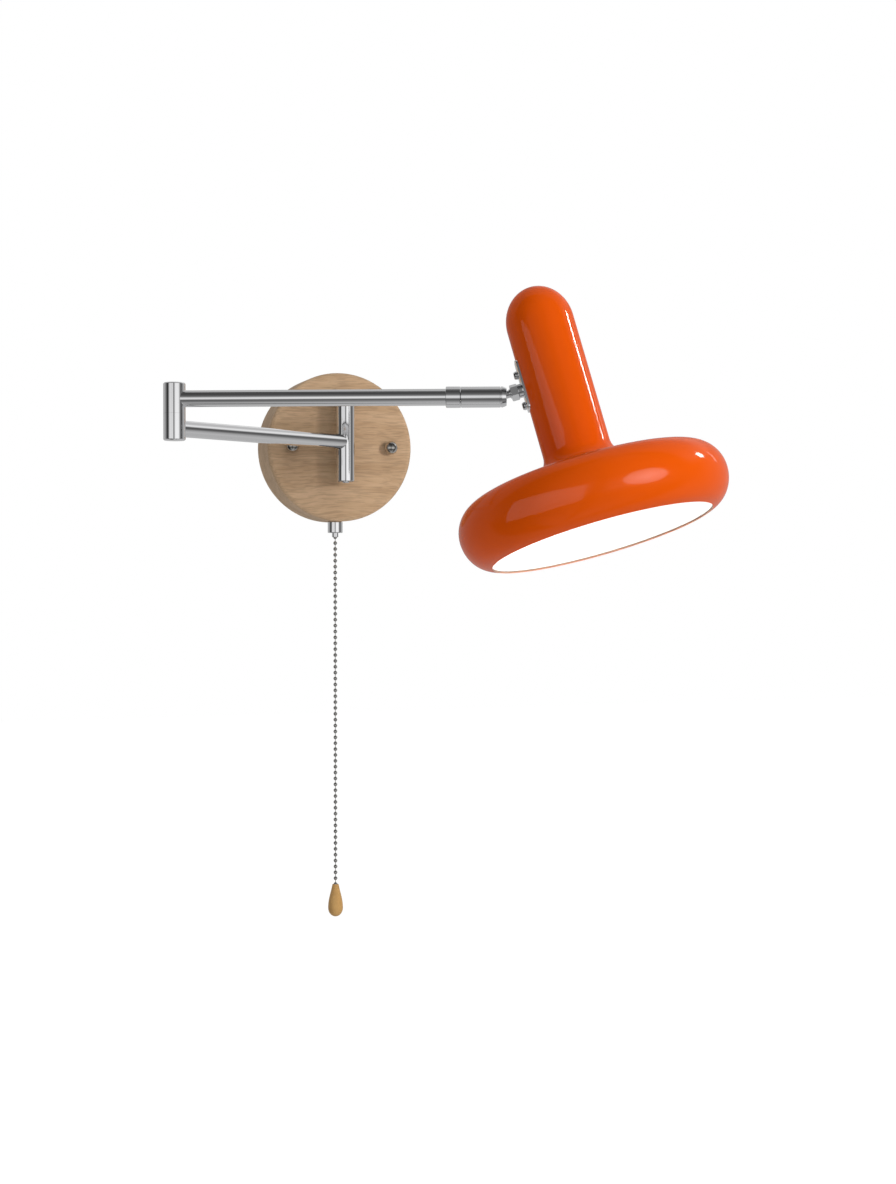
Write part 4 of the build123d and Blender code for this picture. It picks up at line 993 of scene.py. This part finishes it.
# Studio
# White screens and dark flags stand round the lamp, as a studio sets them up for chrome, so
# that the tubes show crisp bands. A key light and a top light shape it, and a few soft boxes
# lay their sheen on the enamel.
studio = bpy.data.worlds.new("studio")
bpy.context.scene.world = studio
studio.use_nodes = True
room = studio.node_tree
room.nodes.clear()
heading = add_node(room, "ShaderNodeTexCoord", {})
face_camera = add_node(room, "ShaderNodeMapping", {
    "Vector": heading["Generated"], "Rotation": (0.0, 0.0, math.radians(108.4))})
parts = add_node(room, "ShaderNodeSeparateXYZ", {"Vector": face_camera["Vector"]})


def room_sum(operation, one, two=0.0):
    """One step of arithmetic on the studio's directions."""
    return add_node(room, "ShaderNodeMath", {0: one, 1: two}, operation=operation)["Value"]


def bands(value, marks):
    """Brightness that changes at the given angles, in degrees, with soft edges."""
    low, high = marks[0][0], marks[-1][0]
    share = room_sum("DIVIDE", room_sum("SUBTRACT", value, math.radians(low)), math.radians(high - low))
    return colour_ramp(room, share, [((angle - low) / (high - low), [bright] * 3) for angle, bright in marks])


sideways = room_sum("ARCTAN2", parts["Y"], parts["X"])
upwards = room_sum("ARCSINE", parts["Z"])
round_bands = bands(sideways, [
    (-180, 0.50), (-102, 0.42), (-88, 0.20), (-76, 0.10), (-64, 0.02), (-57, 0.04), (-51, 0.35), (-45, 0.72),
    (-29, 0.84), (-18, 0.75), (-9, 0.85), (-4, 0.70), (-1, 0.20), (6, 0.20), (12, 0.70), (20, 1.0), (52, 1.0),
    (63, 0.50), (74, 0.14), (92, 0.12), (107, 0.36), (127, 0.48), (180, 0.50)])
high_bands = bands(upwards, [
    (-90, 0.66), (-80, 0.66), (-65, 0.50), (-50, 0.30), (-38, 0.20), (-26, 0.13), (-17, 0.40), (-10, 1.0),
    (4, 1.0), (11, 0.70), (19, 0.30), (31, 0.16), (45, 0.10), (60, 0.07), (75, 0.12), (90, 0.34)])
behind = bands(room_sum("ABSOLUTE", sideways), [(0, 0.0), (92, 0.0), (102, 1.0), (180, 1.0)])
level = room_sum("MULTIPLY", round_bands, room_sum("MAXIMUM", high_bands, behind))
beside = bands(sideways, [(-180, 0.0), (80, 0.0), (92, 1.0), (180, 1.0)])
side_bands = bands(upwards, [
    (-90, 0.5), (-48, 0.46), (-33, 0.52), (-14, 0.38), (-3, 0.20), (7, 0.07), (16, 0.10), (24, 0.5),
    (29, 0.86), (37, 0.86), (45, 0.55), (90, 0.5)])
pattern = room_sum("MAXIMUM", level, room_sum("MULTIPLY", beside, side_bands))
path = add_node(room, "ShaderNodeLightPath", {})
plain_light = add_node(room, "ShaderNodeBackground", {"Color": (0.48, 0.48, 0.485, 1.0)})
mirror_light = add_node(room, "ShaderNodeBackground", {"Color": pattern})
white_light = add_node(room, "ShaderNodeBackground", {"Color": (1.0, 1.0, 1.0, 1.0)})
pick_mirror = add_node(room, "ShaderNodeMixShader", {
    "Fac": path["Is Glossy Ray"], 1: plain_light["Background"], 2: mirror_light["Background"]})
pick_camera = add_node(room, "ShaderNodeMixShader", {
    "Fac": path["Is Camera Ray"], 1: pick_mirror["Shader"], 2: white_light["Background"]})
add_node(room, "ShaderNodeOutputWorld", {"Surface": pick_camera["Shader"]})
enamelled = bpy.data.collections.new("enamelled")
enamelled.objects.link(orange_shell)
box_distance = 1.6


def soft_box(name, toward, wide, high, power, middle=(0.05, -0.2, 0.0), distance=box_distance):
    """Soft light that faces the lamp from a direction. It isn't seen in the chrome."""
    light = bpy.data.lights.new(name, "AREA")
    light.shape = "ELLIPSE"
    light.size = wide
    light.size_y = high
    light.energy = power
    box = in_scene(name, light)
    aim = Vector(toward).normalized()
    box.location = Vector(middle) + aim * distance
    box.rotation_euler = (-aim).to_track_quat("-Z", "Y").to_euler()
    box.visible_glossy = False
    return box


def sheen(name, toward, wide, high, power, middle):
    """Soft box that only lays its sheen on the enamel."""
    box = soft_box(name, toward, wide, high, power, middle)
    box.visible_glossy = True
    box.visible_diffuse = False
    box.light_linking.receiver_collection = enamelled
    return box


key = soft_box("key_box", (0.55, -0.83, 0.13), 0.42, 0.42, 15.0)
let_through = bpy.data.collections.new("let_through")
for piece in (orange_shell, opal_globe):
    let_through.objects.link(piece)
for member in let_through.collection_objects:
    member.light_linking.link_state = "EXCLUDE"
key.light_linking.blocker_collection = let_through
soft_box("top_box", (0.1, -0.35, 1.0), 0.9, 0.9, 3.0, distance=1.7)
for wide, high, power in ((1.15, 1.0, 20.0), (0.85, 0.74, 14.0), (0.50, 0.44, 18.0)):
    sheen("enamel_sheen", (0.393, -0.913, 0.105), wide, high, power, (0.12, -0.32, -0.02))
sheen("rim_sheen", (0.883, 0.005, 0.469), 0.19, 0.24, 7.0, (0.12, -0.25, 0.02))
sheen("edge_sheen", (0.925, 0.300, 0.342), 0.07, 0.4, 0.3, (0.12, -0.25, 0.02))
panel = sheen("panel_sheen", (-0.845, -0.495, -0.174), 2.2, 1.3, 20.0, (0.10, -0.28, 0.0))
panel.data.shape = "RECTANGLE"
